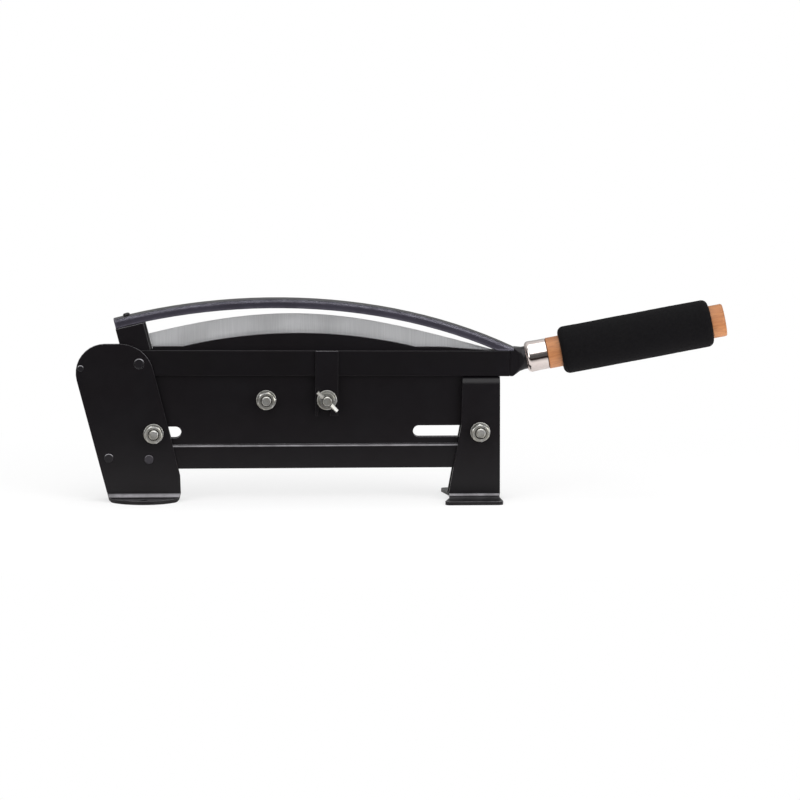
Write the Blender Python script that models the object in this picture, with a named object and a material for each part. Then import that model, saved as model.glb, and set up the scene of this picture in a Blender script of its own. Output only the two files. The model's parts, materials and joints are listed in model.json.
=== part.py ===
"""Herb guillotine cutter: a hinged knife over a slotted sheet bed that stands on two bent feet.

The length runs along X with the handle at +X, the front is toward -Y, and the feet stand on Z = 0.
Bed and feet are laid out from the pivot's place on the floor, and the knife from the pivot itself.
"""

import math

import bmesh
import bpy
import numpy as np
from mathutils import Vector

MM = 0.001

# Pivot and rest pose: closed, the knife lies a little below level toward the handle.
PIVOT_HEIGHT = 111.3 * MM
REST_TILT = math.radians(0.37)

# Clearances between faces that touch, between sliding sheets, and around shanks.
SEAT_GAP = 0.3 * MM
SLIDE_GAP = 0.35 * MM
BORE_GAP = 0.3 * MM

# Sheet and bar thicknesses.
BLADE_THICKNESS = 2.5 * MM
BACKING_THICKNESS = 2.1 * MM
BAR_THICKNESS = 3.2 * MM
BED_SHEET = 2.0 * MM
FOOT_SHEET = 3.0 * MM
STRAP_THICKNESS = 2.0 * MM
BEND_RADIUS = 3.2 * MM
LEFT_BEND_RADIUS = 5.0 * MM
LEDGE_BEND_RADIUS = 1.2 * MM

# M8 fasteners. A long slot leaves its bolt this much play above and below.
SHANK_RADIUS = 4.0 * MM
ACROSS_FLATS = 13.0 * MM
HEAD_HEIGHT = 5.3 * MM
NUT_HEIGHT = 6.5 * MM
WASHER_RADIUS = 7.95 * MM
WASHER_THICKNESS = 1.6 * MM
BUSH_RADIUS = 7.0 * MM
THREAD_PROUD = 2.2 * MM
POINT_CHAMFER = 0.9 * MM
SLOT_PLAY = 0.6 * MM

# Bed plates. The recessed sheet ends just above the bars' lower edge, and the slots follow the ledge.
BED_TOP = PIVOT_HEIGHT - 8.4 * MM
BED_LEFT = -30.0 * MM
BED_RIGHT = 286.8 * MM
BED_LEDGE = 45.1 * MM
BED_BOTTOM = 26.0 * MM
BED_NOTCH_RIGHT = 13.5 * MM
BED_NOTCH_DEPTH = 4.6 * MM
BED_SHOULDER = 70.0 * MM
SLOT_HEIGHT = 2 * (SHANK_RADIUS + SLOT_PLAY)
SLOT_LEVEL = BED_LEDGE + 9.8 * MM
LEFT_SLOT_INSET = 20.5 * MM
LEFT_SLOT_START = BED_LEFT + LEFT_SLOT_INSET
LEFT_SLOT_END = 33.5 * MM
RIGHT_SLOT_START = 218.7 * MM
RIGHT_SLOT_END = BED_RIGHT - 5.9 * MM

# Bolt places: the first two as distances along the bed, the others as (along, height).
LEFT_BOLT = 11.2 * MM
RIGHT_BOLT = RIGHT_SLOT_END - 8.7 * MM
BED_BOLT_DROP = 30.6 * MM
LOCK_STUD_DROP = 30.1 * MM
BED_BOLT = (101.3 * MM, PIVOT_HEIGHT - BED_BOLT_DROP)
LOCK_STUD = (149.7 * MM, PIVOT_HEIGHT - LOCK_STUD_DROP)

# Left foot plates: outline seen from the front, then the round flange. The rear plate is lower.
LEFT_FOOT_RISE = 15.7 * MM
LEFT_FOOT_TOP = PIVOT_HEIGHT + LEFT_FOOT_RISE
LEFT_REAR_DROP = 3.2 * MM
LEFT_FOOT_CORNER = -57.3 * MM
LEFT_FOOT_RIGHT_CORNER = 5.8 * MM
LEFT_FOOT_ROUND = 23.3 * MM
LEFT_FOOT_RIGHT_ROUND = 27.3 * MM
LEFT_FOOT_SHIN = (-32.8 * MM, 33.0 * MM)
LEFT_FOOT_WAIST = (26.6 * MM, 44.5 * MM)
LEFT_FOOT_ANKLE = (32.5 * MM, 18.0 * MM)
LEFT_FLANGE_LEFT = -25.8 * MM
LEFT_FLANGE_RIGHT = 32.9 * MM
LEFT_FLANGE_INSET = 1.4 * MM
LEFT_FLANGE_REACH = 28.5 * MM
FLANGE_HOLE_RADIUS = 3.3 * MM
FLANGE_HOLE_REACH = LEFT_FLANGE_REACH - 7.5 * MM

# Right foot plates: outline seen from the front, measured along from their bolt, then the flared flange.
RIGHT_FOOT_LEFT = -14.0 * MM
RIGHT_FOOT_WAIST = (-15.2 * MM, 60.0 * MM)
RIGHT_FOOT_TOE = -25.3 * MM
RIGHT_FOOT_RIGHT = 15.9 * MM
RIGHT_FLANGE_REACH = 40.0 * MM
RIGHT_FLANGE_FLARE = 3.8 * MM
RIGHT_FLANGE_RELIEF = 1.2 * MM
RIGHT_FLANGE_ROUND = 4.0 * MM

# Bars, with a round end about the pivot.
BAR_HEIGHT = 20.5 * MM
BAR_END = 296.0 * MM
BAR_EASE = 0.4 * MM

# Link between the pivot and the bow: how far it reaches to each side of its axis, and its right-hand chamfers.
LINK_LEFT = 11.2 * MM
LINK_RIGHT = 13.2 * MM
LINK_CHAMFER = 1.8 * MM
TONGUE_STEP = 0.25 * MM

# Heel, neck and tang, then the handle pieces along the handle's own axis.
HEEL_START = BAR_END - 7.5 * MM
HEEL_FLAT_END = BAR_END + 2.5 * MM
HEEL_CHAMFER_END = BAR_END + 8.2 * MM
HEEL_CHAMFER_RISE = 3.7 * MM
HEEL_CREST = 2.2 * MM
HEEL_CORNER = 0.5 * MM
HEEL_ROUND = 4.0 * MM
NECK_REACH = 13.35 * MM
HANDLE_START = (BAR_END + NECK_REACH, 4.2 * MM)
HANDLE_ANGLE = math.radians(10.9)
NECK_RADIUS = 9.2 * MM
NECK_RUN = 2.5 * MM
TANG_RADIUS = 5.0 * MM
TANG_LENGTH = 40.0 * MM
WOOD_RADIUS = 12.4 * MM
WOOD_ROUND = 1.6 * MM
KNOB_RADIUS = WOOD_RADIUS + 0.7 * MM
KNOB_LENGTH = 11.3 * MM
FERRULE_END_RADIUS = WOOD_RADIUS - 0.2 * MM
FERRULE_START_RADIUS = FERRULE_END_RADIUS + 0.25 * MM
FERRULE_LENGTH = 16.7 * MM
FERRULE_WALL = 1.2 * MM
FERRULE_ROUND = 1.5 * MM
BARE_WOOD = 11.4 * MM
FOAM_START = FERRULE_LENGTH + BARE_WOOD
FOAM_LENGTH = 122.2 * MM
FOAM_WALL = 6.4 * MM
FOAM_RADIUS = WOOD_RADIUS + SEAT_GAP + FOAM_WALL
FOAM_ROUND = 0.85 * FOAM_WALL
WOOD_END = FOAM_START + FOAM_LENGTH + KNOB_LENGTH

# Arch-topped plates that back the blade. Their shoulder falls to the bars' top near the heel.
BACKING_LEFT = LINK_RIGHT + SEAT_GAP
BACKING_RIGHT = HEEL_START - 2 * SEAT_GAP
BACKING_SHOULDER = 13.2 * MM
BACKING_FALL_START = 243.0 * MM
BACKING_FALL_END = BACKING_RIGHT - 6.9 * MM
ARCH_CENTRE = 127.7 * MM
ARCH_TOP = 24.1 * MM
ARCH_RADIUS = 402.0 * MM

# Blade: spine and cutting edge as curves that start at these heights beside the link.
BLADE_TIP = HEEL_START - 1.5 * MM
BLADE_TOP = 22.9 * MM
BLADE_BOTTOM = -15.6 * MM
BLADE_SPINE = [(123.2 * MM, 51.8 * MM), (176.1 * MM, 39.4 * MM), (BLADE_TIP, 9.2 * MM)]
BLADE_EDGE = [(108.0 * MM, -23.0 * MM), (195.0 * MM, -20.0 * MM), (BLADE_TIP, -8 * MM)]
BLADE_GRIND = 8.0 * MM
BLADE_EDGE_WIDTH = 0.3 * MM
BLADE_SCREW_PLACES = (60.0 * MM, 150.0 * MM, 240.0 * MM)
BLADE_SCREW_RADIUS = 2.0 * MM
BLADE_SCREW_HEAD_RADIUS = 3.5 * MM
BLADE_SCREW_HEAD = 2.0 * MM
BLADE_SCREW_BITE = 2.0 * MM

# Bow arm along the middle of its section, and the screw that holds it on the link.
BOW_LINE = [(-19.4 * MM, 31.0 * MM), (80.3 * MM, 57.4 * MM), (201.0 * MM, 54.6 * MM), (HEEL_FLAT_END, 8.6 * MM)]
BOW_STOP = BAR_END + 3.0 * MM
BOW_THICKNESS = 7.4 * MM
BOW_ROUND = 0.9 * MM
BOW_SCREW_RADIUS = 1.9 * MM
BOW_SCREW_HEAD_RADIUS = 2.9 * MM
BOW_SCREW_HEAD = 1.8 * MM
BOW_SCREW_BITE = 12.0 * MM

# Lock strap on the front bar, centred on its stud.
STRAP_WIDTH = 18.3 * MM
STRAP_BELOW_STUD = 13.0 * MM
STRAP_SLOT_WIDTH = 2 * (SHANK_RADIUS + 1.0 * MM)
STRAP_EASE = 0.3 * MM

# Wing nut.
WING_HUB_RADIUS = 6.4 * MM
WING_HUB_TOP_RADIUS = 5.2 * MM
WING_HUB_HEIGHT = 7.0 * MM
WING_SPAN_RADIUS = 11.0 * MM
WING_ROOT_WIDTH = 3.4 * MM
WING_TIP_WIDTH = 2.7 * MM
WING_ROOT = 1.8 * MM
WING_LIFT = 4.9 * MM
WING_ROOT_DEPTH = 6.5 * MM
WING_TIP_DEPTH = 4.2 * MM
WING_ANGLE = math.radians(44)

# A screw's domed head, as shares of its height and radius from the top down.
HEAD_DOME = [(1.0, 0.6), (0.7, 0.9), (0.2, 1.0), (0.0, 1.0)]

# Tie rivets of the left foot, as (name, along, height, shank radius, shoulder radius, head radius).
TIE_RIVETS = [
    ("tie_rivet_upper", LEFT_FOOT_CORNER + 10.7 * MM, PIVOT_HEIGHT - 3.7 * MM, 1.8 * MM, 3.0 * MM, 2.6 * MM),
    ("tie_rivet_lower_left", BED_LEFT + 5.5 * MM, 35.4 * MM, 2.5 * MM, 4.0 * MM, 3.7 * MM),
    ("tie_rivet_lower_right", 7.5 * MM, 34.2 * MM, 2.5 * MM, 4.0 * MM, 3.7 * MM),
]
RIVET_PROUD = 0.8 * MM
PIVOT_PROUD = 0.6 * MM

# Layers across the width, measured from the blade's middle plane.
BLADE_OUT = BLADE_THICKNESS / 2
BACKING_IN = BLADE_OUT + SEAT_GAP
BACKING_OUT = BACKING_IN + BACKING_THICKNESS
BED_IN = BLADE_OUT + SLIDE_GAP
BED_OUT = BED_IN + BED_SHEET
BAR_IN = max(BACKING_OUT, BED_OUT) + SEAT_GAP
BAR_OUT = BAR_IN + BAR_THICKNESS
TONGUE_OUT = BAR_IN - SEAT_GAP
STRIP_OUT = BAR_OUT
STRIP_IN = STRIP_OUT - BED_SHEET
FOOT_IN = BAR_OUT + SLIDE_GAP
FOOT_OUT = FOOT_IN + FOOT_SHEET
FOOT_MIDDLE = (FOOT_IN + FOOT_OUT) / 2

# Heights that follow from the pieces that rest on each other.
BAR_HALF = BAR_HEIGHT / 2
SLOPE = math.sin(REST_TILT)
LIP_TOP = PIVOT_HEIGHT - BAR_HALF - (RIGHT_BOLT + RIGHT_FOOT_RIGHT) * SLOPE - SEAT_GAP
BACKING_BOTTOM = BED_TOP - PIVOT_HEIGHT + BACKING_RIGHT * SLOPE + SEAT_GAP

# A rim stops a little short of square to the sheet's run, so that every ring of it keeps some width.
RIM_SHARE = 0.9
# A box ring whose corners take this share of its half width is round, and none of its points coincide.
ROUND_SHARE = 0.995
SEGMENTS = 24
BEND_STEPS = 5
FRONT = -1
REAR = 1

PAINT_BLACK = ("black_enamel", (0.011, 0.010, 0.012), 0.42, 0.0)
BOW_BLACK = ("bow_enamel", (0.022, 0.020, 0.028), 0.38, 0.0)
BLADE_STEEL = ("ground_blade_steel", (0.62, 0.63, 0.65), 0.28, 1.0)
ZINC = ("zinc_plate", (0.60, 0.59, 0.56), 0.30, 1.0)
FERRULE_STEEL = ("bright_ferrule", (0.72, 0.70, 0.69), 0.18, 1.0)
WOOD = ("turned_wood", (0.62, 0.37, 0.17), 0.45, 0.0)
FOAM = ("black_foam", (0.010, 0.010, 0.011), 0.85, 0.0)


def clear_scene():
    for thing in list(bpy.data.objects):
        bpy.data.objects.remove(thing, do_unlink=True)


def material(spec):
    name, colour, roughness, metallic = spec
    made = bpy.data.materials.get(name)
    if made is None:
        made = bpy.data.materials.new(name)
        made.use_nodes = True
        shader = made.node_tree.nodes["Principled BSDF"]
        shader.inputs["Base Color"].default_value = (*colour, 1.0)
        shader.inputs["Roughness"].default_value = roughness
        shader.inputs["Metallic"].default_value = metallic
    return made


def frame(name, parent=None, location=(0, 0, 0), turn=0.0):
    """An empty turned about Y that carries the pieces laid out from it."""
    empty = bpy.data.objects.new(name, None)
    bpy.context.scene.collection.objects.link(empty)
    empty.parent = parent
    empty.location = location
    empty.rotation_euler = (0, turn, 0)
    return empty


def add(name, shape, parent, paint, location=(0, 0, 0), turn=0.0):
    """Turns a bmesh into a named object with closed, outward faces and smooth round stretches."""
    bmesh.ops.recalc_face_normals(shape, faces=shape.faces)
    mesh = bpy.data.meshes.new(name)
    shape.to_mesh(mesh)
    shape.free()
    mesh.shade_smooth()
    mesh.set_sharp_from_angle(angle=math.radians(35))
    if paint:
        mesh.materials.append(material(paint))
    thing = bpy.data.objects.new(name, mesh)
    bpy.context.scene.collection.objects.link(thing)
    thing.parent = parent
    thing.location = location
    thing.rotation_euler = (0, turn, 0)
    return thing


def loft(rings, closed=False, shape=None):
    """Skins rings of equal length. An open row of rings gets end caps, a closed one joins end to end."""
    shape = shape or bmesh.new()
    rows = [[shape.verts.new(point) for point in ring] for ring in rings]
    pairs = list(zip(rows, rows[1:]))
    if closed:
        pairs.append((rows[-1], rows[0]))
    for row, following in pairs:
        for i in range(len(row)):
            j = (i + 1) % len(row)
            shape.faces.new((row[i], row[j], following[j], following[i]))
    if not closed:
        shape.faces.new(rows[0])
        shape.faces.new(rows[-1])
    return shape


def hexagon(across_flats):
    """Marks a section as a hexagon. Its radius at each angle comes from the distance across the flats."""
    return ("hexagon", across_flats / 2)


def section_radius(radius, angle):
    if isinstance(radius, tuple):
        offset = (angle + math.pi / 6) % (math.pi / 3) - math.pi / 6
        return radius[1] / math.cos(offset)
    return radius


def turned(profile, along="Y", closed=False, segments=SEGMENTS):
    """A turned solid from (place along the axis, radius) points. A radius may be a hexagon."""
    rings = []
    for place, radius in profile:
        ring = []
        for i in range(segments):
            angle = 2 * math.pi * i / segments
            reach = section_radius(radius, angle)
            across, up = reach * math.cos(angle), reach * math.sin(angle)
            ring.append((across, place, up) if along == "Y" else (place, across, up))
        rings.append(ring)
    return loft(rings, closed)


def slab(outline, near, far, shape=None):
    """A flat plate: a front-view outline carried from one depth to another."""
    return loft([[(x, near, z) for x, z in outline], [(x, far, z) for x, z in outline]], shape=shape)


def arc(centre, radius, start, end, steps):
    angles = [start + (end - start) * i / steps for i in range(steps + 1)]
    return [(centre[0] + radius * math.cos(a), centre[1] + radius * math.sin(a)) for a in angles]


def disc(centre, radius, segments=SEGMENTS):
    return arc(centre, radius, 0, 2 * math.pi, segments)[:-1]


def stadium(left, right, level, height):
    """A level slot outline with round ends, between its outermost points."""
    radius = height / 2
    right_end = arc((right - radius, level), radius, -math.pi / 2, math.pi / 2, SEGMENTS // 2)
    left_end = arc((left + radius, level), radius, math.pi / 2, 3 * math.pi / 2, SEGMENTS // 2)
    return right_end + left_end


def fillet(before, corner, after, radius, steps=6):
    """The arc that rounds a corner, from the side of the point before it to the side of the one after."""
    before, corner, after = Vector(before), Vector(corner), Vector(after)
    back, onward = (before - corner).normalized(), (after - corner).normalized()
    half = back.angle(onward) / 2
    middle = corner + (back + onward).normalized() * (radius / math.sin(half))
    start = corner + back * (radius / math.tan(half)) - middle
    swing = math.pi - 2 * half
    turn = math.copysign(swing, back.x * onward.y - back.y * onward.x) * -1
    points = []
    for i in range(steps + 1):
        angle = turn * i / steps
        cos, sin = math.cos(angle), math.sin(angle)
        points.append((middle.x + start.x * cos - start.y * sin, middle.y + start.x * sin + start.y * cos))
    return points


def bezier(points, t):
    a, b, c, d = (Vector(point) for point in points)
    s = 1 - t
    return a * s**3 + b * 3 * s * s * t + c * 3 * s * t * t + d * t**3


def bezier_direction(points, t):
    a, b, c, d = (Vector(point) for point in points)
    s = 1 - t
    return ((b - a) * s * s + (c - b) * 2 * s * t + (d - c) * t * t).normalized()


def cut(target, shape):
    """Takes a shape out of a piece with a hidden cutter in the same frame."""
    cutter = add(target.name + "_cutter", shape, target.parent, None)
    cutter.location = target.location
    cutter.rotation_euler = target.rotation_euler
    cutter.hide_render = True
    cutter.display_type = "WIRE"
    modifier = target.modifiers.new("holes", "BOOLEAN")
    modifier.operation = "DIFFERENCE"
    modifier.object = cutter


def join(target, shape):
    """Unites a hidden second shape with a piece."""
    helper = add(target.name + "_helper", shape, target.parent, None)
    helper.location = target.location
    helper.rotation_euler = target.rotation_euler
    helper.hide_render = True
    helper.display_type = "WIRE"
    modifier = target.modifiers.new("join", "BOOLEAN")
    modifier.operation = "UNION"
    modifier.object = helper


def soften(target, width):
    """Breaks the sharp edges of a piece."""
    modifier = target.modifiers.new("soften", "BEVEL")
    modifier.width = width
    modifier.segments = 2
    modifier.limit_method = "ANGLE"
    modifier.angle_limit = math.radians(50)
    modifier.harden_normals = False


def bent_path(corners, radius):
    """The middle of a bent sheet as (depth, height) points, with each corner turned about a radius."""
    path = [corners[0]]
    for before, corner, after in zip(corners, corners[1:], corners[2:]):
        path += fillet(before, corner, after, radius, BEND_STEPS)
    return path + [corners[-1]]


def bent_sheet(path, thickness, left, right, side):
    """A bent sheet whose depth grows or whose height falls all along its path.

    The left and right outlines are (along, depth, height) points, and height minus depth says
    how far down the sheet a point lies, so it finds the outline's place on the path.
    """
    path = np.array(path)
    down = path[:, 1] - path[:, 0]
    runs = np.diff(path, axis=0)
    runs /= np.linalg.norm(runs, axis=1)[:, None]
    tangents = np.vstack([runs[:1], (runs[:-1] + runs[1:]) / 2, runs[-1:]])
    tangents /= np.linalg.norm(tangents, axis=1)[:, None]
    edges = []
    for outline in (left, right):
        table = np.array([(height - depth, along) for along, depth, height in outline])
        edges.append(table[np.argsort(table[:, 0], kind="stable")])
    levels = np.concatenate([down, edges[0][:, 0], edges[1][:, 0]])
    lowest = max(down.min(), edges[0][0, 0], edges[1][0, 0])
    highest = min(down.max(), edges[0][-1, 0], edges[1][-1, 0])
    levels = sorted({round(float(level), 6) for level in levels if lowest <= level <= highest}, reverse=True)
    levels[0], levels[-1] = highest, lowest
    rings = []
    for level in levels:
        depth = np.interp(-level, -down, path[:, 0])
        height = np.interp(-level, -down, path[:, 1])
        tangent = [np.interp(-level, -down, tangents[:, i]) for i in range(2)]
        length = math.hypot(*tangent)
        across = (-tangent[1] / length * thickness / 2, tangent[0] / length * thickness / 2)
        ends = [np.interp(level, edge[:, 0], edge[:, 1]) for edge in edges]
        outer = (side * (depth + across[0]), height + across[1])
        inner = (side * (depth - across[0]), height - across[1])
        rings.append([(ends[0], *outer), (ends[1], *outer), (ends[1], *inner), (ends[0], *inner)])
    return loft(rings)


def side_name(name, side):
    return name + ("_front" if side == FRONT else "_rear")


def bed_plate(side, parent):
    """A bed plate: the recessed upper sheet, the ledge and the lower strip, with its slots and holes."""
    recess = (BED_IN + BED_OUT) / 2
    strip = (STRIP_IN + STRIP_OUT) / 2
    ledge = BED_LEDGE - BED_SHEET / 2
    corners = [(recess, BED_TOP), (recess, ledge), (strip, ledge), (strip, BED_BOTTOM)]
    path = bent_path(corners, LEDGE_BEND_RADIUS)
    notch_foot = BED_TOP - BED_NOTCH_DEPTH
    left = [
        (BED_NOTCH_RIGHT, recess, BED_TOP),
        (BED_NOTCH_RIGHT - BED_NOTCH_DEPTH, recess, notch_foot),
        (BED_LEFT, recess, BED_SHOULDER),
        (BED_LEFT, strip, BED_BOTTOM),
    ]
    right = [(BED_RIGHT, recess, BED_TOP), (BED_RIGHT, strip, BED_BOTTOM)]
    shape = bent_sheet(path, BED_SHEET, left, right, side)
    plate = add(side_name("bed_plate", side), shape, parent, PAINT_BLACK)
    near, far = side * (BED_IN - SEAT_GAP), side * (STRIP_OUT + SEAT_GAP)
    left_slot = stadium(LEFT_SLOT_START, LEFT_SLOT_END, SLOT_LEVEL, SLOT_HEIGHT)
    right_slot = stadium(RIGHT_SLOT_START, RIGHT_SLOT_END, SLOT_LEVEL, SLOT_HEIGHT)
    holes = slab(left_slot, near, far)
    slab(right_slot, near, far, holes)
    for place in (BED_BOLT, LOCK_STUD):
        slab(disc(place, SHANK_RADIUS + BORE_GAP), near, far, holes)
    for name, along, height, shank, shoulder, head in TIE_RIVETS:
        if height < BED_LEDGE:
            slab(disc((along, height), shank + BORE_GAP), near, far, holes)
    cut(plate, holes)


def left_foot_outline(top_height):
    """The left and right outlines of a left foot plate, down over the flange's round rim."""
    flange = FOOT_SHEET / 2
    top = ((LEFT_FOOT_CORNER + LEFT_FOOT_RIGHT_CORNER) / 2, top_height)
    left_toe = (LEFT_FLANGE_LEFT, flange + LEFT_BEND_RADIUS)
    right_toe = (LEFT_FLANGE_RIGHT, flange + LEFT_BEND_RADIUS)
    left_corner = (LEFT_FOOT_CORNER, top_height)
    right_corner = (LEFT_FOOT_RIGHT_CORNER, top_height)
    left = fillet(top, left_corner, LEFT_FOOT_SHIN, LEFT_FOOT_ROUND, 10)
    left += [LEFT_FOOT_SHIN, left_toe]
    right = fillet(top, right_corner, LEFT_FOOT_WAIST, LEFT_FOOT_RIGHT_ROUND, 10)
    right += [LEFT_FOOT_WAIST, LEFT_FOOT_ANKLE, right_toe]
    left = [(along, FOOT_MIDDLE, height) for along, height in left]
    right = [(along, FOOT_MIDDLE, height) for along, height in right]
    # The rim is an arc that starts at the bend, a little inside both toes, and runs through the farthest point.
    half = (LEFT_FLANGE_RIGHT - LEFT_FLANGE_LEFT) / 2 - LEFT_FLANGE_INSET
    middle = (LEFT_FLANGE_RIGHT + LEFT_FLANGE_LEFT) / 2
    sag = LEFT_FLANGE_REACH - FOOT_OUT
    radius = (half**2 + sag**2) / (2 * sag)
    widest = math.asin(half / radius)
    for i in range(9):
        angle = widest * (1 - RIM_SHARE * i / 8)
        depth = LEFT_FLANGE_REACH - radius * (1 - math.cos(angle))
        left.append((middle - radius * math.sin(angle), depth, flange))
        right.append((middle + radius * math.sin(angle), depth, flange))
    return left, right


def left_foot(side, parent):
    flange = FOOT_SHEET / 2
    top = LEFT_FOOT_TOP - LEFT_REAR_DROP if side == REAR else LEFT_FOOT_TOP
    corners = [(FOOT_MIDDLE, top), (FOOT_MIDDLE, flange), (LEFT_FLANGE_REACH, flange)]
    left, right = left_foot_outline(top)
    shape = bent_sheet(bent_path(corners, LEFT_BEND_RADIUS + flange), FOOT_SHEET, left, right, side)
    plate = add(side_name("left_foot", side), shape, parent, PAINT_BLACK)
    near, far = side * (FOOT_IN - SEAT_GAP), side * (FOOT_OUT + SEAT_GAP)
    holes = slab(disc((0, PIVOT_HEIGHT), SHANK_RADIUS + BORE_GAP), near, far)
    slab(disc((LEFT_BOLT, SLOT_LEVEL), SHANK_RADIUS + BORE_GAP), near, far, holes)
    for name, along, height, shank, shoulder, head in TIE_RIVETS:
        slab(disc((along, height), shank + BORE_GAP), near, far, holes)
    middle = (LEFT_FLANGE_RIGHT + LEFT_FLANGE_LEFT) / 2
    rim = [(x, side * y) for x, y in disc((middle, FLANGE_HOLE_REACH), FLANGE_HOLE_RADIUS)]
    loft([[(x, y, -FOOT_SHEET) for x, y in rim], [(x, y, 2 * FOOT_SHEET) for x, y in rim]], shape=holes)
    cut(plate, holes)


def right_foot(side, parent):
    """A right foot plate with its lip under the bar, laid out from the bolt that carries it."""
    flange = FOOT_SHEET / 2
    lip_start = BED_OUT + SEAT_GAP
    lip = LIP_TOP - flange
    corners = [
        (lip_start, lip),
        (FOOT_MIDDLE, lip),
        (FOOT_MIDDLE, flange),
        (RIGHT_FLANGE_REACH, flange),
    ]
    path = bent_path(corners, BEND_RADIUS + flange)
    bend = FOOT_OUT + BEND_RADIUS
    flare = RIGHT_FLANGE_REACH - RIGHT_FLANGE_ROUND
    flare_left = RIGHT_FOOT_TOE - RIGHT_FLANGE_FLARE
    flare_right = RIGHT_FOOT_RIGHT + RIGHT_FLANGE_RELIEF
    left = [
        (RIGHT_FOOT_LEFT, lip_start, lip),
        (RIGHT_FOOT_WAIST[0], FOOT_MIDDLE, RIGHT_FOOT_WAIST[1]),
        (RIGHT_FOOT_TOE, FOOT_MIDDLE, flange + BEND_RADIUS),
        (RIGHT_FOOT_TOE + RIGHT_FLANGE_RELIEF, bend, flange),
    ]
    right = [
        (RIGHT_FOOT_RIGHT, lip_start, lip),
        (RIGHT_FOOT_RIGHT, FOOT_MIDDLE, flange + BEND_RADIUS),
        (RIGHT_FOOT_RIGHT - RIGHT_FLANGE_RELIEF / 2, bend, flange),
    ]
    corner_steps = 4
    for step in range(corner_steps + 1):
        angle = math.pi / 2 * step / corner_steps * RIM_SHARE
        depth = flare + RIGHT_FLANGE_ROUND * math.sin(angle)
        inward = RIGHT_FLANGE_ROUND * (1 - math.cos(angle))
        left.append((flare_left + inward, depth, flange))
        right.append((flare_right - inward, depth, flange))
    shape = bent_sheet(path, FOOT_SHEET, left, right, side)
    plate = add(side_name("right_foot", side), shape, parent, PAINT_BLACK)
    near, far = side * (FOOT_IN - SEAT_GAP), side * (FOOT_OUT + SEAT_GAP)
    cut(plate, slab(disc((0, SLOT_LEVEL), SHANK_RADIUS + BORE_GAP), near, far))


def tube(start, end, inner, outer, along="Y"):
    """A washer, bush or spacer."""
    return turned([(start, inner), (start, outer), (end, outer), (end, inner)], along, closed=True)


def washer(name, parent, place, start, side):
    shape = tube(side * start, side * (start + WASHER_THICKNESS), SHANK_RADIUS + BORE_GAP, WASHER_RADIUS)
    add(name, shape, parent, ZINC, (place[0], 0, place[1]))


def nut(name, parent, place, start, side):
    bore = SHANK_RADIUS + BORE_GAP
    inset = POINT_CHAMFER / 2
    flats = hexagon(ACROSS_FLATS)
    profile = [
        (side * start, bore),
        (side * start, ACROSS_FLATS / 2),
        (side * (start + inset), flats),
        (side * (start + NUT_HEIGHT - inset), flats),
        (side * (start + NUT_HEIGHT), ACROSS_FLATS / 2),
        (side * (start + NUT_HEIGHT), bore + inset),
        (side * (start + NUT_HEIGHT - inset), bore),
    ]
    add(name, turned(profile, closed=True), parent, ZINC, (place[0], 0, place[1]))


def bolt(name, parent, place, head_start, point):
    """A hexagon bolt from a head at the rear to a chamfered point at the front."""
    flats = hexagon(ACROSS_FLATS)
    inset = POINT_CHAMFER / 2
    profile = [
        (head_start + HEAD_HEIGHT, ACROSS_FLATS / 2),
        (head_start + HEAD_HEIGHT - inset, flats),
        (head_start, flats),
        (head_start, SHANK_RADIUS),
        (-point + POINT_CHAMFER, SHANK_RADIUS),
        (-point, SHANK_RADIUS - POINT_CHAMFER),
    ]
    add(name, turned(profile), parent, ZINC, (place[0], 0, place[1]))


def spacer(name, parent, place):
    """The ring that keeps the two bed plates apart."""
    reach = BED_IN - SEAT_GAP
    shape = tube(-reach, reach, SHANK_RADIUS + BORE_GAP, BUSH_RADIUS)
    add(name, shape, parent, ZINC, (place[0], 0, place[1]))


def foot_bush(name, parent, place, side):
    """The bush between a recessed bed plate and a foot plate."""
    shape = tube(side * (BED_OUT + SEAT_GAP), side * (FOOT_IN - SEAT_GAP), SHANK_RADIUS + BORE_GAP, BUSH_RADIUS)
    add(name, shape, parent, ZINC, (place[0], 0, place[1]))


def clamp_bolt(label, parent, place, outer):
    """A bolt through the bed with its washers, nut and spacer, on plates whose outer faces are given."""
    seat = outer + SEAT_GAP
    beyond = seat + WASHER_THICKNESS + SEAT_GAP
    washer(label + "_washer_front", parent, place, seat, FRONT)
    washer(label + "_washer_rear", parent, place, seat, REAR)
    nut(label + "_nut", parent, place, beyond, FRONT)
    bolt(label, parent, place, beyond, beyond + NUT_HEIGHT + THREAD_PROUD)
    spacer(label + "_spacer", parent, place)


def foot_bolt(label, parent, place):
    clamp_bolt(label, parent, place, FOOT_OUT)
    foot_bush(label + "_bush_front", parent, place, FRONT)
    foot_bush(label + "_bush_rear", parent, place, REAR)


def tie_rivets(parent):
    for name, along, height, shank, shoulder, head in TIE_RIVETS:
        inner = (STRIP_IN if height < BED_LEDGE else FOOT_IN) - SEAT_GAP
        seat = FOOT_OUT + SEAT_GAP
        outside = [(seat + RIVET_PROUD, head - RIVET_PROUD / 2), (seat + RIVET_PROUD / 2, head), (seat, head)]
        half = outside + [(seat, shank), (inner, shank), (inner, shoulder)]
        profile = half + [(-place, radius) for place, radius in reversed(half)]
        add(name, turned(profile, segments=12), parent, PAINT_BLACK, (along, 0, height))


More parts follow.
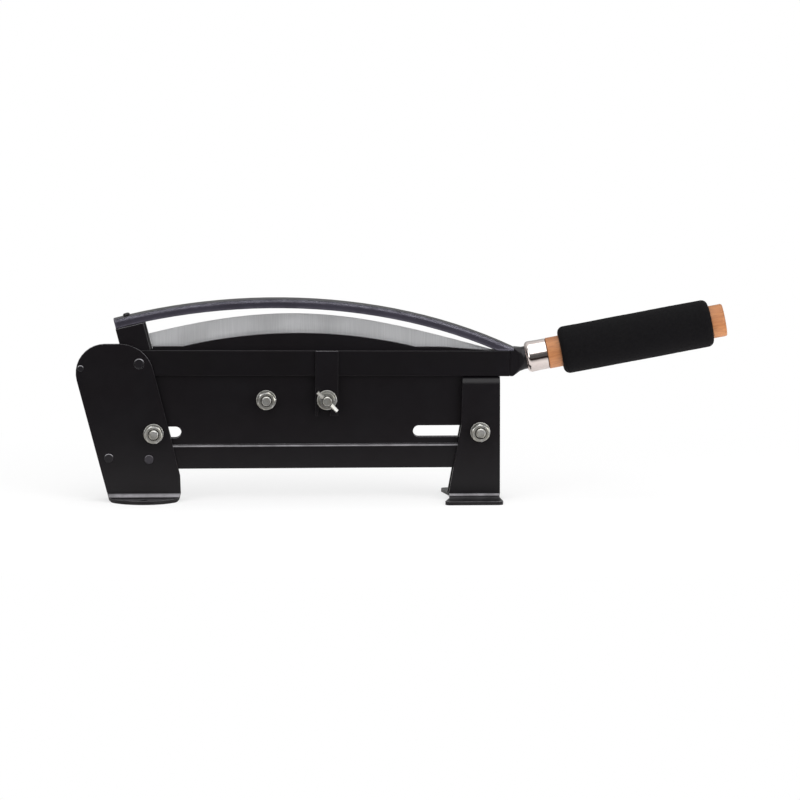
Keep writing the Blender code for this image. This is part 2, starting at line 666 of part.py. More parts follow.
def pivot_pin(parent):
    """The pin through both left foot plates, flush at the front and held by a nut at the rear."""
    place = (0, PIVOT_HEIGHT)
    washer("pivot_washer", parent, place, FOOT_OUT + SEAT_GAP, REAR)
    nut_start = FOOT_OUT + 2 * SEAT_GAP + WASHER_THICKNESS
    nut("pivot_nut", parent, place, nut_start, REAR)
    end = nut_start + NUT_HEIGHT + THREAD_PROUD
    front = -(FOOT_OUT + PIVOT_PROUD)
    profile = [
        (front, SHANK_RADIUS - POINT_CHAMFER / 2),
        (front + POINT_CHAMFER / 2, SHANK_RADIUS),
        (end - POINT_CHAMFER, SHANK_RADIUS),
        (end, SHANK_RADIUS - POINT_CHAMFER),
    ]
    add("pivot_pin", turned(profile), parent, PAINT_BLACK, (0, 0, PIVOT_HEIGHT))


def lock_stud(parent):
    """The stud that the strap drops over, with its stand-off bush and front washer."""
    strap_back = BAR_OUT + SEAT_GAP
    strap_front = strap_back + STRAP_THICKNESS
    rear_seat = BED_OUT + SEAT_GAP
    washer("lock_washer_rear", parent, LOCK_STUD, rear_seat, REAR)
    spacer("lock_spacer", parent, LOCK_STUD)
    bush = tube(-(BED_OUT + SEAT_GAP), -(strap_back - SEAT_GAP), SHANK_RADIUS + BORE_GAP, BUSH_RADIUS)
    add("lock_bush", bush, parent, ZINC, (LOCK_STUD[0], 0, LOCK_STUD[1]))
    washer("lock_washer_front", parent, LOCK_STUD, strap_front + SEAT_GAP, FRONT)
    wing_start = strap_front + 2 * SEAT_GAP + WASHER_THICKNESS
    head_start = rear_seat + WASHER_THICKNESS + SEAT_GAP
    bolt("lock_stud", parent, LOCK_STUD, head_start, wing_start + WING_HUB_HEIGHT + THREAD_PROUD)
    wing_nut(parent, wing_start)


def wing_nut(parent, start):
    profile = [
        (-start, WING_HUB_RADIUS),
        (-(start + WING_HUB_HEIGHT), WING_HUB_TOP_RADIUS),
    ]
    place = (LOCK_STUD[0], 0, LOCK_STUD[1])
    hub = add("wing_nut", turned(profile), parent, ZINC, place, WING_ANGLE)
    for direction in (-1, 1):
        rings = []
        for share in np.linspace(0, 1, 6):
            reach = SHANK_RADIUS + (WING_SPAN_RADIUS - SHANK_RADIUS) * share
            base = start + WING_ROOT + WING_LIFT * share
            depth = WING_ROOT_DEPTH + (WING_TIP_DEPTH - WING_ROOT_DEPTH) * share
            half = (WING_ROOT_WIDTH + (WING_TIP_WIDTH - WING_ROOT_WIDTH) * share) / 2
            corner = half / 2
            outline = [
                (-half + corner, 0),
                (half - corner, 0),
                (half, corner),
                (half, depth - corner),
                (half - corner, depth),
                (-half + corner, depth),
                (-half, depth - corner),
                (-half, corner),
            ]
            rings.append([(direction * reach, -(base + y), z) for z, y in outline])
        join(hub, loft(rings))
    end = start + WING_ROOT + WING_LIFT + WING_ROOT_DEPTH
    cut(hub, turned([(-start + SEAT_GAP, SHANK_RADIUS + BORE_GAP), (-end, SHANK_RADIUS + BORE_GAP)]))


def bar(side, parent):
    """A knife bar with a round end about the pivot. The front one holds the blade screws in blind holes."""
    outline = arc((0, 0), BAR_HALF, math.pi / 2, 3 * math.pi / 2, SEGMENTS // 2)
    outline += [(BAR_END, -BAR_HALF), (BAR_END, BAR_HALF)]
    piece = add(side_name("bar", side), slab(outline, side * BAR_IN, side * BAR_OUT), parent, PAINT_BLACK)
    soften(piece, BAR_EASE)
    near, far = side * (BAR_IN - SEAT_GAP), side * (BAR_OUT + SEAT_GAP)
    holes = slab(disc((0, 0), SHANK_RADIUS + BORE_GAP), near, far)
    depth = far if side == REAR else side * (BAR_IN + BLADE_SCREW_BITE + BORE_GAP)
    for along in BLADE_SCREW_PLACES:
        slab(disc((along, 0), BLADE_SCREW_RADIUS + BORE_GAP, 12), near, depth, holes)
    cut(piece, holes)


def beside_link(height):
    """The place at a height on a line that runs up beside the link and leans back with it."""
    across, up = link_axes()
    turn = across * BACKING_LEFT
    return tuple(turn + up * ((height - turn.y) / up.y))


def backing_plate(side, parent):
    """An arch-topped plate beside the blade."""
    half = math.sqrt(ARCH_RADIUS**2 - (ARCH_RADIUS - ARCH_TOP + BACKING_SHOULDER) ** 2)
    swing = math.asin(half / ARCH_RADIUS)
    centre = (ARCH_CENTRE, ARCH_TOP - ARCH_RADIUS)
    top = arc(centre, ARCH_RADIUS, math.pi / 2 - swing, math.pi / 2 + swing, 24)
    outline = [(BACKING_LEFT, BACKING_BOTTOM), (BACKING_RIGHT, BACKING_BOTTOM), (BACKING_RIGHT, BAR_HALF)]
    outline += [(BACKING_FALL_END, BAR_HALF), (BACKING_FALL_START, BACKING_SHOULDER)]
    outline += top + [beside_link(BACKING_SHOULDER), tuple(link_axes()[0] * BACKING_LEFT)]
    shape = slab(outline, side * BACKING_IN, side * BACKING_OUT)
    piece = add(side_name("backing_plate", side), shape, parent, PAINT_BLACK)
    near, far = side * (BACKING_IN - SEAT_GAP / 2), side * (BACKING_OUT + SEAT_GAP / 2)
    holes = None
    for along in BLADE_SCREW_PLACES:
        holes = slab(disc((along, 0), BLADE_SCREW_RADIUS + BORE_GAP, 12), near, far, holes)
    cut(piece, holes)


def blade(parent):
    """The blade between its curved spine and its curved, double-ground cutting edge."""
    rings = []
    stations = 36
    spine_line = [beside_link(BLADE_TOP)] + BLADE_SPINE
    edge_line = [beside_link(BLADE_BOTTOM)] + BLADE_EDGE
    for i in range(stations + 1):
        t = i / stations
        spine, edge = bezier(spine_line, t), bezier(edge_line, t)
        grind = edge + (spine - edge).normalized() * BLADE_GRIND
        half, fine = BLADE_OUT, BLADE_EDGE_WIDTH / 2
        rings.append(
            [
                (spine.x, -half, spine.y),
                (spine.x, half, spine.y),
                (grind.x, half, grind.y),
                (edge.x, fine, edge.y),
                (edge.x, -fine, edge.y),
                (grind.x, -half, grind.y),
            ]
        )
    piece = add("blade", loft(rings), parent, BLADE_STEEL)
    holes = None
    for along in BLADE_SCREW_PLACES:
        holes = slab(disc((along, 0), BLADE_SCREW_RADIUS + BORE_GAP, 12), -BACKING_IN, BACKING_IN, holes)
    cut(piece, holes)


def blade_screws(parent):
    seat = BAR_OUT + SEAT_GAP
    profile = [(seat + BLADE_SCREW_HEAD * rise, BLADE_SCREW_HEAD_RADIUS * reach) for rise, reach in HEAD_DOME]
    profile += [(seat, BLADE_SCREW_RADIUS), (-(BAR_IN + BLADE_SCREW_BITE), BLADE_SCREW_RADIUS)]
    for number, along in enumerate(BLADE_SCREW_PLACES, 1):
        add(f"blade_screw_{number}", turned(profile, segments=12), parent, ZINC, (along, 0, 0))


def link_axes():
    """The link's own directions in the knife's plane: across it, and up it square to the bow's left end."""
    start = bezier_direction(BOW_LINE, 0)
    return start, Vector((-start.y, start.x))


def bow_height(offset):
    """How far the bow's middle line lies from the pivot along the link, at an offset across the link."""
    across, up = link_axes()
    line = [bezier(BOW_LINE, t / 200) for t in range(40)]
    return float(np.interp(offset, [point.dot(across) for point in line], [point.dot(up) for point in line]))


def bow_section(centre, direction, half_width):
    """A cross-section of the bow with rounded corners, square to its line."""
    normal = Vector((-direction.y, direction.x))
    half = BOW_THICKNESS / 2
    round_steps = 3
    ring = []
    for across, up, start in ((1, 1, 0), (-1, 1, 90), (-1, -1, 180), (1, -1, 270)):
        for step in range(round_steps + 1):
            angle = math.radians(start + 90 * step / round_steps)
            y = across * (half_width - BOW_ROUND) + BOW_ROUND * math.cos(angle)
            lift = up * (half - BOW_ROUND) + BOW_ROUND * math.sin(angle)
            ring.append((centre.x + normal.x * lift, y, centre.y + normal.y * lift))
    return ring


def bow(parent):
    """The bow arm, whose right end is cut to lie on the bars and to stop at the heel's crest."""
    stations = 26
    rings = []
    for i in range(stations + 1):
        t = i / stations
        rings.append(bow_section(bezier(BOW_LINE, t), bezier_direction(BOW_LINE, t), BAR_OUT))
    piece = add("bow_arm", loft(rings), parent, BOW_BLACK)
    floor = BAR_HALF + SEAT_GAP
    start, end = BLADE_SCREW_PLACES[-1], BAR_END + BAR_HEIGHT
    waste = [(start, -floor), (end, -floor), (end, BAR_HEIGHT)]
    waste += [(BOW_STOP, BAR_HEIGHT), (BOW_STOP, floor), (start, floor)]
    cut(piece, slab(waste, -2 * BAR_OUT, 2 * BAR_OUT))
    cut(piece, link_bore(bow_height(0) - BOW_THICKNESS, bow_height(0) + BOW_THICKNESS))


def link_bore(start, end):
    """The cutter for the bow screw's bore, between two distances from the pivot."""
    return loft([link_ring(place, BOW_SCREW_RADIUS + BORE_GAP) for place in (start, end)])


def link_ring(place, radius, segments=12):
    """A ring about the link's axis, at a distance from the pivot."""
    across, up = link_axes()
    ring = []
    for i in range(segments):
        angle = 2 * math.pi * i / segments
        point = up * place + across * (radius * math.cos(angle))
        ring.append((point.x, radius * math.sin(angle), point.y))
    return ring


def bow_screw_end():
    return bow_height(0) - BOW_THICKNESS / 2 - BOW_SCREW_BITE


def bow_screw(parent):
    highest = max(bow_height(-BOW_SCREW_HEAD_RADIUS), bow_height(BOW_SCREW_HEAD_RADIUS))
    top = highest + BOW_THICKNESS / 2 + SEAT_GAP
    profile = [(top + BOW_SCREW_HEAD * rise, BOW_SCREW_HEAD_RADIUS * reach) for rise, reach in HEAD_DOME]
    profile += [(top, BOW_SCREW_RADIUS), (bow_screw_end(), BOW_SCREW_RADIUS)]
    rings = [link_ring(place, radius) for place, radius in profile]
    add("bow_screw", loft(rings), parent, PAINT_BLACK)


def link(parent):
    """The link: a full-width block under the bow and a thinner tongue between the bars at the pivot."""
    across, up = link_axes()
    seat = BOW_THICKNESS / 2 + SEAT_GAP
    left_top, right_top = bow_height(-LINK_LEFT) - seat, bow_height(LINK_RIGHT) - seat
    plan = [(-LINK_LEFT, -BAR_OUT), (LINK_RIGHT - LINK_CHAMFER, -BAR_OUT)]
    plan += [(LINK_RIGHT, -BAR_OUT + LINK_CHAMFER)]
    plan += [(x, -y) for x, y in reversed(plan)]
    # The block's underside runs level just above the bars.
    left_base, right_base = ((BAR_HALF + SEAT_GAP - across.y * x) / up.y for x in (-LINK_LEFT, LINK_RIGHT))
    block = []
    for left_end, right_end in ((left_base, right_base), (left_top, right_top)):
        ring = []
        for x, y in plan:
            rise = (x + LINK_LEFT) / (LINK_LEFT + LINK_RIGHT)
            point = up * (left_end + (right_end - left_end) * rise) + across * x
            ring.append((point.x, y, point.y))
        block.append(ring)
    slant = math.atan2(across.y, across.x)
    tongue_half = LINK_LEFT - TONGUE_STEP
    tongue_top = up * (left_base + right_top) / 2
    tongue = arc((0, 0), tongue_half, math.pi + slant, 2 * math.pi + slant, SEGMENTS // 2)
    tongue += [tongue_top + across * tongue_half, tongue_top - across * tongue_half]
    piece = add("hinge_link", loft(block), parent, PAINT_BLACK)
    join(piece, slab(tongue, -TONGUE_OUT, TONGUE_OUT))
    cut(piece, slab(disc((0, 0), SHANK_RADIUS + BORE_GAP), -BAR_OUT, BAR_OUT))
    cut(piece, link_bore(bow_screw_end() - BORE_GAP, left_top + BOW_THICKNESS))


def box_ring(x, half_width, low, high, radius, lean=0.0):
    """A rounded rectangle across X, with as many points at any corner radius."""
    steps = 5
    middle = (low + high) / 2
    half = (high - low) / 2
    ring = []
    for across, up, start in ((1, 1, 0), (-1, 1, 90), (-1, -1, 180), (1, -1, 270)):
        for step in range(steps + 1):
            angle = math.radians(start + 90 * step / steps)
            y = across * (half_width - radius) + radius * math.cos(angle)
            z = up * (half - radius) + radius * math.sin(angle)
            ring.append((x - z * math.sin(lean), y, middle + z * math.cos(lean)))
    return ring


def along_handle(distance):
    """A point of the handle's axis, in the knife's frame."""
    return (
        HANDLE_START[0] + distance * math.cos(HANDLE_ANGLE),
        HANDLE_START[1] + distance * math.sin(HANDLE_ANGLE),
    )


def heel(parent):
    """The heel between and behind the bars, the round neck and the tang inside the handle."""
    block = BAR_END + SEAT_GAP
    crest = BOW_STOP + SEAT_GAP
    crest_rise = HEEL_CHAMFER_RISE * (crest - HEEL_FLAT_END) / (HEEL_CHAMFER_END - HEEL_FLAT_END)
    top = BAR_HALF + HEEL_CREST
    rings = [
        box_ring(HEEL_START, TONGUE_OUT, -BAR_HALF, BAR_HALF, HEEL_CORNER),
        box_ring(block, TONGUE_OUT, -BAR_HALF, BAR_HALF, HEEL_CORNER),
        box_ring(block, BAR_OUT, -BAR_HALF, BAR_HALF, HEEL_CORNER),
        box_ring(HEEL_FLAT_END, BAR_OUT, -BAR_HALF, BAR_HALF, HEEL_CORNER),
        box_ring(crest, BAR_OUT, -BAR_HALF + crest_rise, BAR_HALF, HEEL_CORNER),
        box_ring(crest, BAR_OUT, -BAR_HALF + crest_rise, top, HEEL_CORNER),
        box_ring(HEEL_CHAMFER_END, BAR_OUT, -BAR_HALF + HEEL_CHAMFER_RISE, top, HEEL_ROUND),
    ]
    shoulder = FERRULE_WALL + SEAT_GAP
    for distance, radius in (
        (-NECK_RUN, NECK_RADIUS),
        (shoulder, NECK_RADIUS),
        (shoulder, TANG_RADIUS),
        (TANG_LENGTH, TANG_RADIUS),
    ):
        x, z = along_handle(distance)
        rings.append(box_ring(x, radius, z - radius, z + radius, radius * ROUND_SHARE, HANDLE_ANGLE))
    add("heel_and_neck", loft(rings), parent, PAINT_BLACK)


def strap(parent):
    """The lock strap on the front bar. Its slot runs the way the stud leaves it as the knife lifts."""
    back = -(BAR_OUT + SEAT_GAP)
    front = back - STRAP_THICKNESS
    drop = LOCK_STUD[1] - PIVOT_HEIGHT
    stud = Vector((LOCK_STUD[0] - drop * SLOPE, drop + LOCK_STUD[0] * SLOPE))
    low = stud.y - STRAP_BELOW_STUD
    left, right = LOCK_STUD[0] - STRAP_WIDTH / 2, LOCK_STUD[0] + STRAP_WIDTH / 2
    outline = [(left, low), (right, low), (right, BAR_HALF), (left, BAR_HALF)]
    piece = add("lock_strap", slab(outline, back, front), parent, PAINT_BLACK)
    soften(piece, STRAP_EASE)
    away = Vector((stud.y, -stud.x)).normalized()
    beside = Vector((-away.y, away.x)) * (STRAP_SLOT_WIDTH / 2)
    heading = math.atan2(beside.y, beside.x)
    slot = arc(stud, STRAP_SLOT_WIDTH / 2, heading, heading + math.pi, SEGMENTS // 2)
    mouth = stud + away * (STRAP_BELOW_STUD * 2)
    slot += [tuple(mouth - beside), tuple(mouth + beside)]
    cut(piece, slab(slot, back + SEAT_GAP / 2, front - SEAT_GAP))


def ferrule(parent):
    lip = NECK_RADIUS + BORE_GAP
    rim = arc((FERRULE_ROUND, FERRULE_START_RADIUS - FERRULE_ROUND), FERRULE_ROUND, math.pi, math.pi / 2, 4)
    profile = [(0, lip)] + rim
    profile += [
        (FERRULE_LENGTH, FERRULE_END_RADIUS),
        (FERRULE_LENGTH, FERRULE_END_RADIUS - FERRULE_WALL),
        (FERRULE_WALL, FERRULE_START_RADIUS - FERRULE_WALL),
        (FERRULE_WALL, lip),
    ]
    add("ferrule", turned(profile, "X", closed=True), parent, FERRULE_STEEL)


def wooden_handle(parent):
    bore = TANG_RADIUS + BORE_GAP
    tenon_start = FERRULE_WALL + 3 * SEAT_GAP
    swell = FOAM_START + FOAM_LENGTH + SEAT_GAP
    end_round = arc((WOOD_END - WOOD_ROUND, KNOB_RADIUS - WOOD_ROUND), WOOD_ROUND, math.pi / 2, 0, 4)
    profile = [
        (TANG_LENGTH + SEAT_GAP, bore),
        (tenon_start, bore),
        (tenon_start, FERRULE_START_RADIUS - FERRULE_WALL - SEAT_GAP),
        (FERRULE_LENGTH + SEAT_GAP, FERRULE_END_RADIUS - FERRULE_WALL - SEAT_GAP),
        (FERRULE_LENGTH + SEAT_GAP, WOOD_RADIUS),
        (swell, WOOD_RADIUS),
        (swell, KNOB_RADIUS),
    ]
    add("wooden_handle", turned(profile + end_round, "X"), parent, WOOD)


def foam_grip(parent):
    bore = WOOD_RADIUS + SEAT_GAP
    end = FOAM_START + FOAM_LENGTH
    rim = FOAM_RADIUS - FOAM_ROUND
    left_round = arc((FOAM_START + FOAM_ROUND, rim), FOAM_ROUND, math.pi, math.pi / 2, 5)
    right_round = arc((end - FOAM_ROUND, rim), FOAM_ROUND, math.pi / 2, 0, 5)
    profile = [(FOAM_START, bore)] + left_round + right_round + [(end, bore)]
    add("foam_grip", turned(profile, "X", closed=True), parent, FOAM)


def middle_of_length():
    """Half way between the left foot's farthest point and the end of the wooden handle."""
    left = min(along for along, depth, height in left_foot_outline(LEFT_FOOT_TOP)[0])
    reach = math.hypot(*HANDLE_START)
    bearing = math.atan2(HANDLE_START[1], HANDLE_START[0]) - REST_TILT
    angle = HANDLE_ANGLE - REST_TILT
    end = reach * math.cos(bearing) + (WOOD_END - WOOD_ROUND) * math.cos(angle)
    end += (KNOB_RADIUS - WOOD_ROUND) * math.sin(angle) + WOOD_ROUND
    return (left + end) / 2


def main():
    clear_scene()
    bed_frame = frame("bed_frame", location=(-middle_of_length(), 0, 0))
    for side in (FRONT, REAR):
        bed_plate(side, bed_frame)
        left_foot(side, bed_frame)
    tie_rivets(bed_frame)
    pivot_pin(bed_frame)
    foot_bolt("left_bolt", bed_frame, (LEFT_BOLT, SLOT_LEVEL))
    clamp_bolt("bed_bolt", bed_frame, BED_BOLT, BED_OUT)
    lock_stud(bed_frame)

    slide_frame = frame("slide_frame", bed_frame, (RIGHT_BOLT, 0, 0))
    for side in (FRONT, REAR):
        right_foot(side, slide_frame)
    foot_bolt("right_bolt", slide_frame, (0, SLOT_LEVEL))

    knife_frame = frame("knife_frame", bed_frame, (0, 0, PIVOT_HEIGHT), REST_TILT)
    for side in (FRONT, REAR):
        bar(side, knife_frame)
        backing_plate(side, knife_frame)
    blade(knife_frame)
    blade_screws(knife_frame)
    link(knife_frame)
    bow(knife_frame)
    bow_screw(knife_frame)
    heel(knife_frame)
    strap(knife_frame)

    handle_frame = frame("handle_frame", knife_frame, (HANDLE_START[0], 0, HANDLE_START[1]), -HANDLE_ANGLE)
    ferrule(handle_frame)
    wooden_handle(handle_frame)
    foam_grip(handle_frame)


main()
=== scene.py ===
"""Looks of the herb guillotine cutter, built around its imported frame.

Lengths are metres. The handle points along +X, the front faces -Y, and the floor is Z = 0.
Most pieces are a CAD form with eased edges. Fasteners, ferrule, wood and foam are turned anew.
"""

import json
import math

import bmesh
import bpy
from mathutils import Matrix, Vector, noise

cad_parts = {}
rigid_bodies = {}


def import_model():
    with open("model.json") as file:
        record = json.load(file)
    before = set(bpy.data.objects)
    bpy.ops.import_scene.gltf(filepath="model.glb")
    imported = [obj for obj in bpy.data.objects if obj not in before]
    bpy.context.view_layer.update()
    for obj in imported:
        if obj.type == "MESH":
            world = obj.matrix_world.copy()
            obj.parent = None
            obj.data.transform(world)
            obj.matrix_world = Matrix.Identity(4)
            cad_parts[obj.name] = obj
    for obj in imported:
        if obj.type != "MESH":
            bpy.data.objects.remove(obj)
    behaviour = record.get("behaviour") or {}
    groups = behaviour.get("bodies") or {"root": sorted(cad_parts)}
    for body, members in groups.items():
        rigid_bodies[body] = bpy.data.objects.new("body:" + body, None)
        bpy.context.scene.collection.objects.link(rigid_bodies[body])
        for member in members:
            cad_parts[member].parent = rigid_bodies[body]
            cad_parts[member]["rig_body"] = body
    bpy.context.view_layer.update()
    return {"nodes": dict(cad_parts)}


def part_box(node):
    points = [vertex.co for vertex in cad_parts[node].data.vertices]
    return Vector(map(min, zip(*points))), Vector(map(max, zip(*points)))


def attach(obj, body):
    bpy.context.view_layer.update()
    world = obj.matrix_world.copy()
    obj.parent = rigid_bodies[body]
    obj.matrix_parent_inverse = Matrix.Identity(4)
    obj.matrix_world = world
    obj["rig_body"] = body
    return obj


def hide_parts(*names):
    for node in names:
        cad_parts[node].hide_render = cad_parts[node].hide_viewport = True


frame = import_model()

MM = 0.001
FRONT, REAR = -1, 1

# Camera, from the photograph's view: far off, a little above and turned a little to the left end.
CAMERA_PLACE = Vector((-0.2005, -4.95323, 0.73223))
CAMERA_LOOK = Vector((0.03979, 0.99065, -0.13053))
LENS = 281.25
SENSOR = 36.0

# Eased edges: sheet is sheared and painted, forgings are rounder, the blade is ground crisp.
SHEET_EASE = 0.35 * MM
BAR_EASE = 0.45 * MM
FORGED_EASE = 0.9 * MM
BLADE_EASE = 0.12 * MM
RIVET_EASE = 0.25 * MM
SCREW_EASE = 0.2 * MM
WING_EASE = 0.3 * MM
WASHER_EASE = 0.35 * MM
BUSH_EASE = 0.3 * MM

# How close CAD points are and how level CAD faces lie to become one, how far an edge turns to
# be eased, and how much large faces keep their own shading.
WELD_REACH = 0.002 * MM
LEVEL_WITHIN = math.radians(0.3)
EASED_FROM = math.radians(28)
FACE_WEIGHT = 60

# M8 thread. A flank under 1 widens the groove. The point is a cone that ends in a dished face.
THREAD_PITCH = 1.25 * MM
THREAD_DEPTH = 0.5 * MM
THREAD_RADIUS = 3.95 * MM
THREAD_FLANK = 0.8
THREAD_RINGS = 9
POINT_DROP = 0.9 * MM
POINT_SLOPE = 1.2
POINT_FACE = THREAD_RADIUS - 1.3 * MM
POINT_DISH = ((0.02 * MM, POINT_FACE), (-0.12 * MM, POINT_FACE * 0.55), (-0.15 * MM, 0.2 * MM))

# Hexagons and bores for M8, and how much of each bolt and of the stud is threaded.
ACROSS_FLATS = 13.0 * MM
CHAMFER_SLOPE = math.tan(math.radians(30))
CHAMFER_START = 0.97
CHAMFER_DEPTHS = [0.1 * MM * step for step in range(9)]
HEAD_DISH = ((0.15 * MM, 0.3 * MM), (0.0, ACROSS_FLATS / 2 * 0.8))
HEAD_DEPTH = 5.3 * MM
NUT_BORE = THREAD_RADIUS + 0.15 * MM
NUT_COUNTERSINK = 0.5 * MM
WASHER_BORE = THREAD_RADIUS + 0.3 * MM
BOLT_THREAD = 6 * MM
STUD_THREAD = 11 * MM

# How far each nut is turned, in radians, and how much farther its bolt's head is.
BOLT_SPINS = (("left_bolt", 0.35), ("right_bolt", 0.12), ("bed_bolt", 0.75))
HEAD_SPIN = 0.4
STUD_SPIN = 0.2
PIVOT_SPIN = 0.5

# Turned shapes: points around, and steps of a rounded end or of a ring's eased edge.
TURN_SEGMENTS = 96
ROUND_STEPS = 8
RING_STEPS = 4

# The closed knife's handle rises this much from level. Its pieces stand apart by the gap.
HANDLE_RISE = math.radians(10.53)
SEAT_GAP = 0.3 * MM

# Ferrule: a tapered tube with a rolled front rim.
FERRULE_START = 12.45 * MM
FERRULE_END = 12.2 * MM
FERRULE_WAIST = 0.12 * MM
FERRULE_BORE = 9.5 * MM
FERRULE_BREAK = 0.5 * MM
FERRULE_ROUND = 3.2 * MM
FERRULE_WALL = 1.2 * MM
FERRULE_RINGS = 12

# Wood: a tenon in the ferrule, a small step where it comes out, and a knob past the foam.
WOOD_RADIUS = 12.4 * MM
WOOD_KNOB = 13.1 * MM
WOOD_EASE = 1.5 * MM
WOOD_STEP = 0.8 * MM
WOOD_STEP_RUN = 0.6 * MM
WOOD_STEP_START = 0.1 * MM
WOOD_CENTRE = 0.5 * MM
TENON_DISH = (0.6 * MM, 3 * MM)
TENON_START = 8.6 * MM
TENON_SLACK = 0.4 * MM

# Foam: its slack surface swells over long runs and dimples over short ones.
FOAM_BORE = WOOD_RADIUS + 0.2 * MM
FOAM_SKIN = 1 * MM
FOAM_ROUND = 5.0 * MM
FOAM_RINGS = 150
FOAM_SEGMENTS = 144
FOAM_SWELL = 0.2 * MM
FOAM_SWELL_RUN = 31 * MM
FOAM_DIMPLE = 0.08 * MM
FOAM_DIMPLE_RUN = 3.1 * MM
FOAM_INSET = FOAM_SWELL * 0.6

# What noise hardly leaves, and the narrower span that gives it more contrast.
NOISE_SPAN = (0.3, 0.7)
MIDDLE_SPAN = (0.35, 0.65)

# An edge is whole where the rounded normal leans from its face to this cosine.
EDGE_LEAN = 0.75

# How steep the painted highlight lines on edges start, are full, begin to end and end, as
# the normal's rise.
SHEET_SLANTS = (0.2, 0.5, 0.72, 0.9)
BOW_SLANTS = (0.06, 0.15, 0.22, 0.3)

# Floor: its corners, how the shadow fades with the distance from the middle, where width counts
# for less, and where the paper, as finishes mirror it, goes from dark in front to pale behind.
FLOOR_CORNERS = ((-1.6, -0.75, 0), (1.6, -0.75, 0), (1.6, 1.8, 0), (-1.6, 1.8, 0))
SHADOW_STRETCH = (0.55, 1.0, 1.0)
SHADOW_FADE = (0.12, 0.42)
SHADOW_WHITES = (0.62, 1.0)
PAPER_FADE = (-0.3, -0.12)

# The room that finishes mirror: a direction's span along Y or Z, and the light over that span.
ROOM_BEHIND = (-0.6, 0.6, 0.1, 0.35)
ROOM_ABOVE = (0.15, 0.9, 0.0, 0.5)

# Lamps: name, place, aim, width, height, how bright the face looks, and if finishes mirror it.
LAMPS = (
    ("overhead", (0.05, -0.1, 1.25), (0.0, 0.0, 0.05), 1.5, 0.9, 1.5, True),
    ("front_box", (0.3, -0.95, 1.05), (0.0, 0.0, 0.1), 1.2, 0.9, 1.7, True),
    ("low_strip", (0.27, -0.06, 0.012), (0.27, -0.05, 0.14), 0.34, 0.24, 1.5, False),
    ("right_card", (0.85, -0.85, 0.25), (0.05, 0.0, 0.12), 0.9, 0.7, 4.6, True),
    ("high_left", (-0.9, -0.9, 0.9), (0.0, 0.0, 0.08), 0.7, 0.6, 2.4, True),
    ("left_card", (-0.75, -0.95, 0.3), (-0.05, 0.0, 0.12), 0.6, 0.6, 2.6, True),
)

NODES = frame["nodes"]


def linear(code):
    """Turns an sRGB hex colour into linear RGBA."""
    values = [int(code[i : i + 2], 16) / 255 for i in (1, 3, 5)]
    return (*[v / 12.92 if v <= 0.04045 else ((v + 0.055) / 1.055) ** 2.4 for v in values], 1.0)


def set_inputs(tree, node, inputs):
    """Fills a node's inputs, given in a dict by name or in the order of those in use.

    Each is a value, an sRGB hex colour, or an output to link from.
    """
    if not isinstance(inputs, dict):
        inputs = dict(zip([i for i, socket in enumerate(node.inputs) if socket.enabled], inputs))
    for socket, value in inputs.items():
        if isinstance(value, bpy.types.NodeSocket):
            tree.links.new(value, node.inputs[socket])
        else:
            node.inputs[socket].default_value = linear(value) if isinstance(value, str) else value


def add_node(tree, kind, inputs=(), output=None, **settings):
    """Adds a node with its settings and links. Gives the named output or the first one in use.

    A MapRange takes a value, the span that it comes from and the span that it goes to.
    """
    made = tree.nodes.new("ShaderNode" + kind)
    for name, value in settings.items():
        setattr(made, name, value)
    set_inputs(tree, made, inputs)
    return made.outputs[output] if output else next(s for s in made.outputs if s.enabled)


def new_finish(name):
    made = bpy.data.materials.new(name)
    made.use_nodes = True
    tree = made.node_tree
    return made, tree, tree.nodes["Principled BSDF"]


def edge_shares(tree, reach, slants):
    """Shares of any edge, of edges and bends that face obliquely upward, and of what lies above."""
    start, full, fade, end = slants
    rounded = add_node(tree, "Bevel", (reach,), samples=6)
    flat = add_node(tree, "NewGeometry", output="Normal")
    facing = add_node(tree, "VectorMath", (rounded, flat), operation="DOT_PRODUCT")
    rise = add_node(tree, "SeparateXYZ", (rounded,), "Z")
    turned_up = add_node(tree, "MapRange", (rise, start, full, 0, 1))
    not_level = add_node(tree, "MapRange", (rise, fade, end, 1, 0))
    oblique = add_node(tree, "Math", (turned_up, not_level), operation="MULTIPLY")
    above = add_node(tree, "MapRange", (rise, fade, end, 0, 1))
    any_edge = add_node(tree, "MapRange", (facing, EDGE_LEAN, 1, 1, 0))
    return any_edge, oblique, above


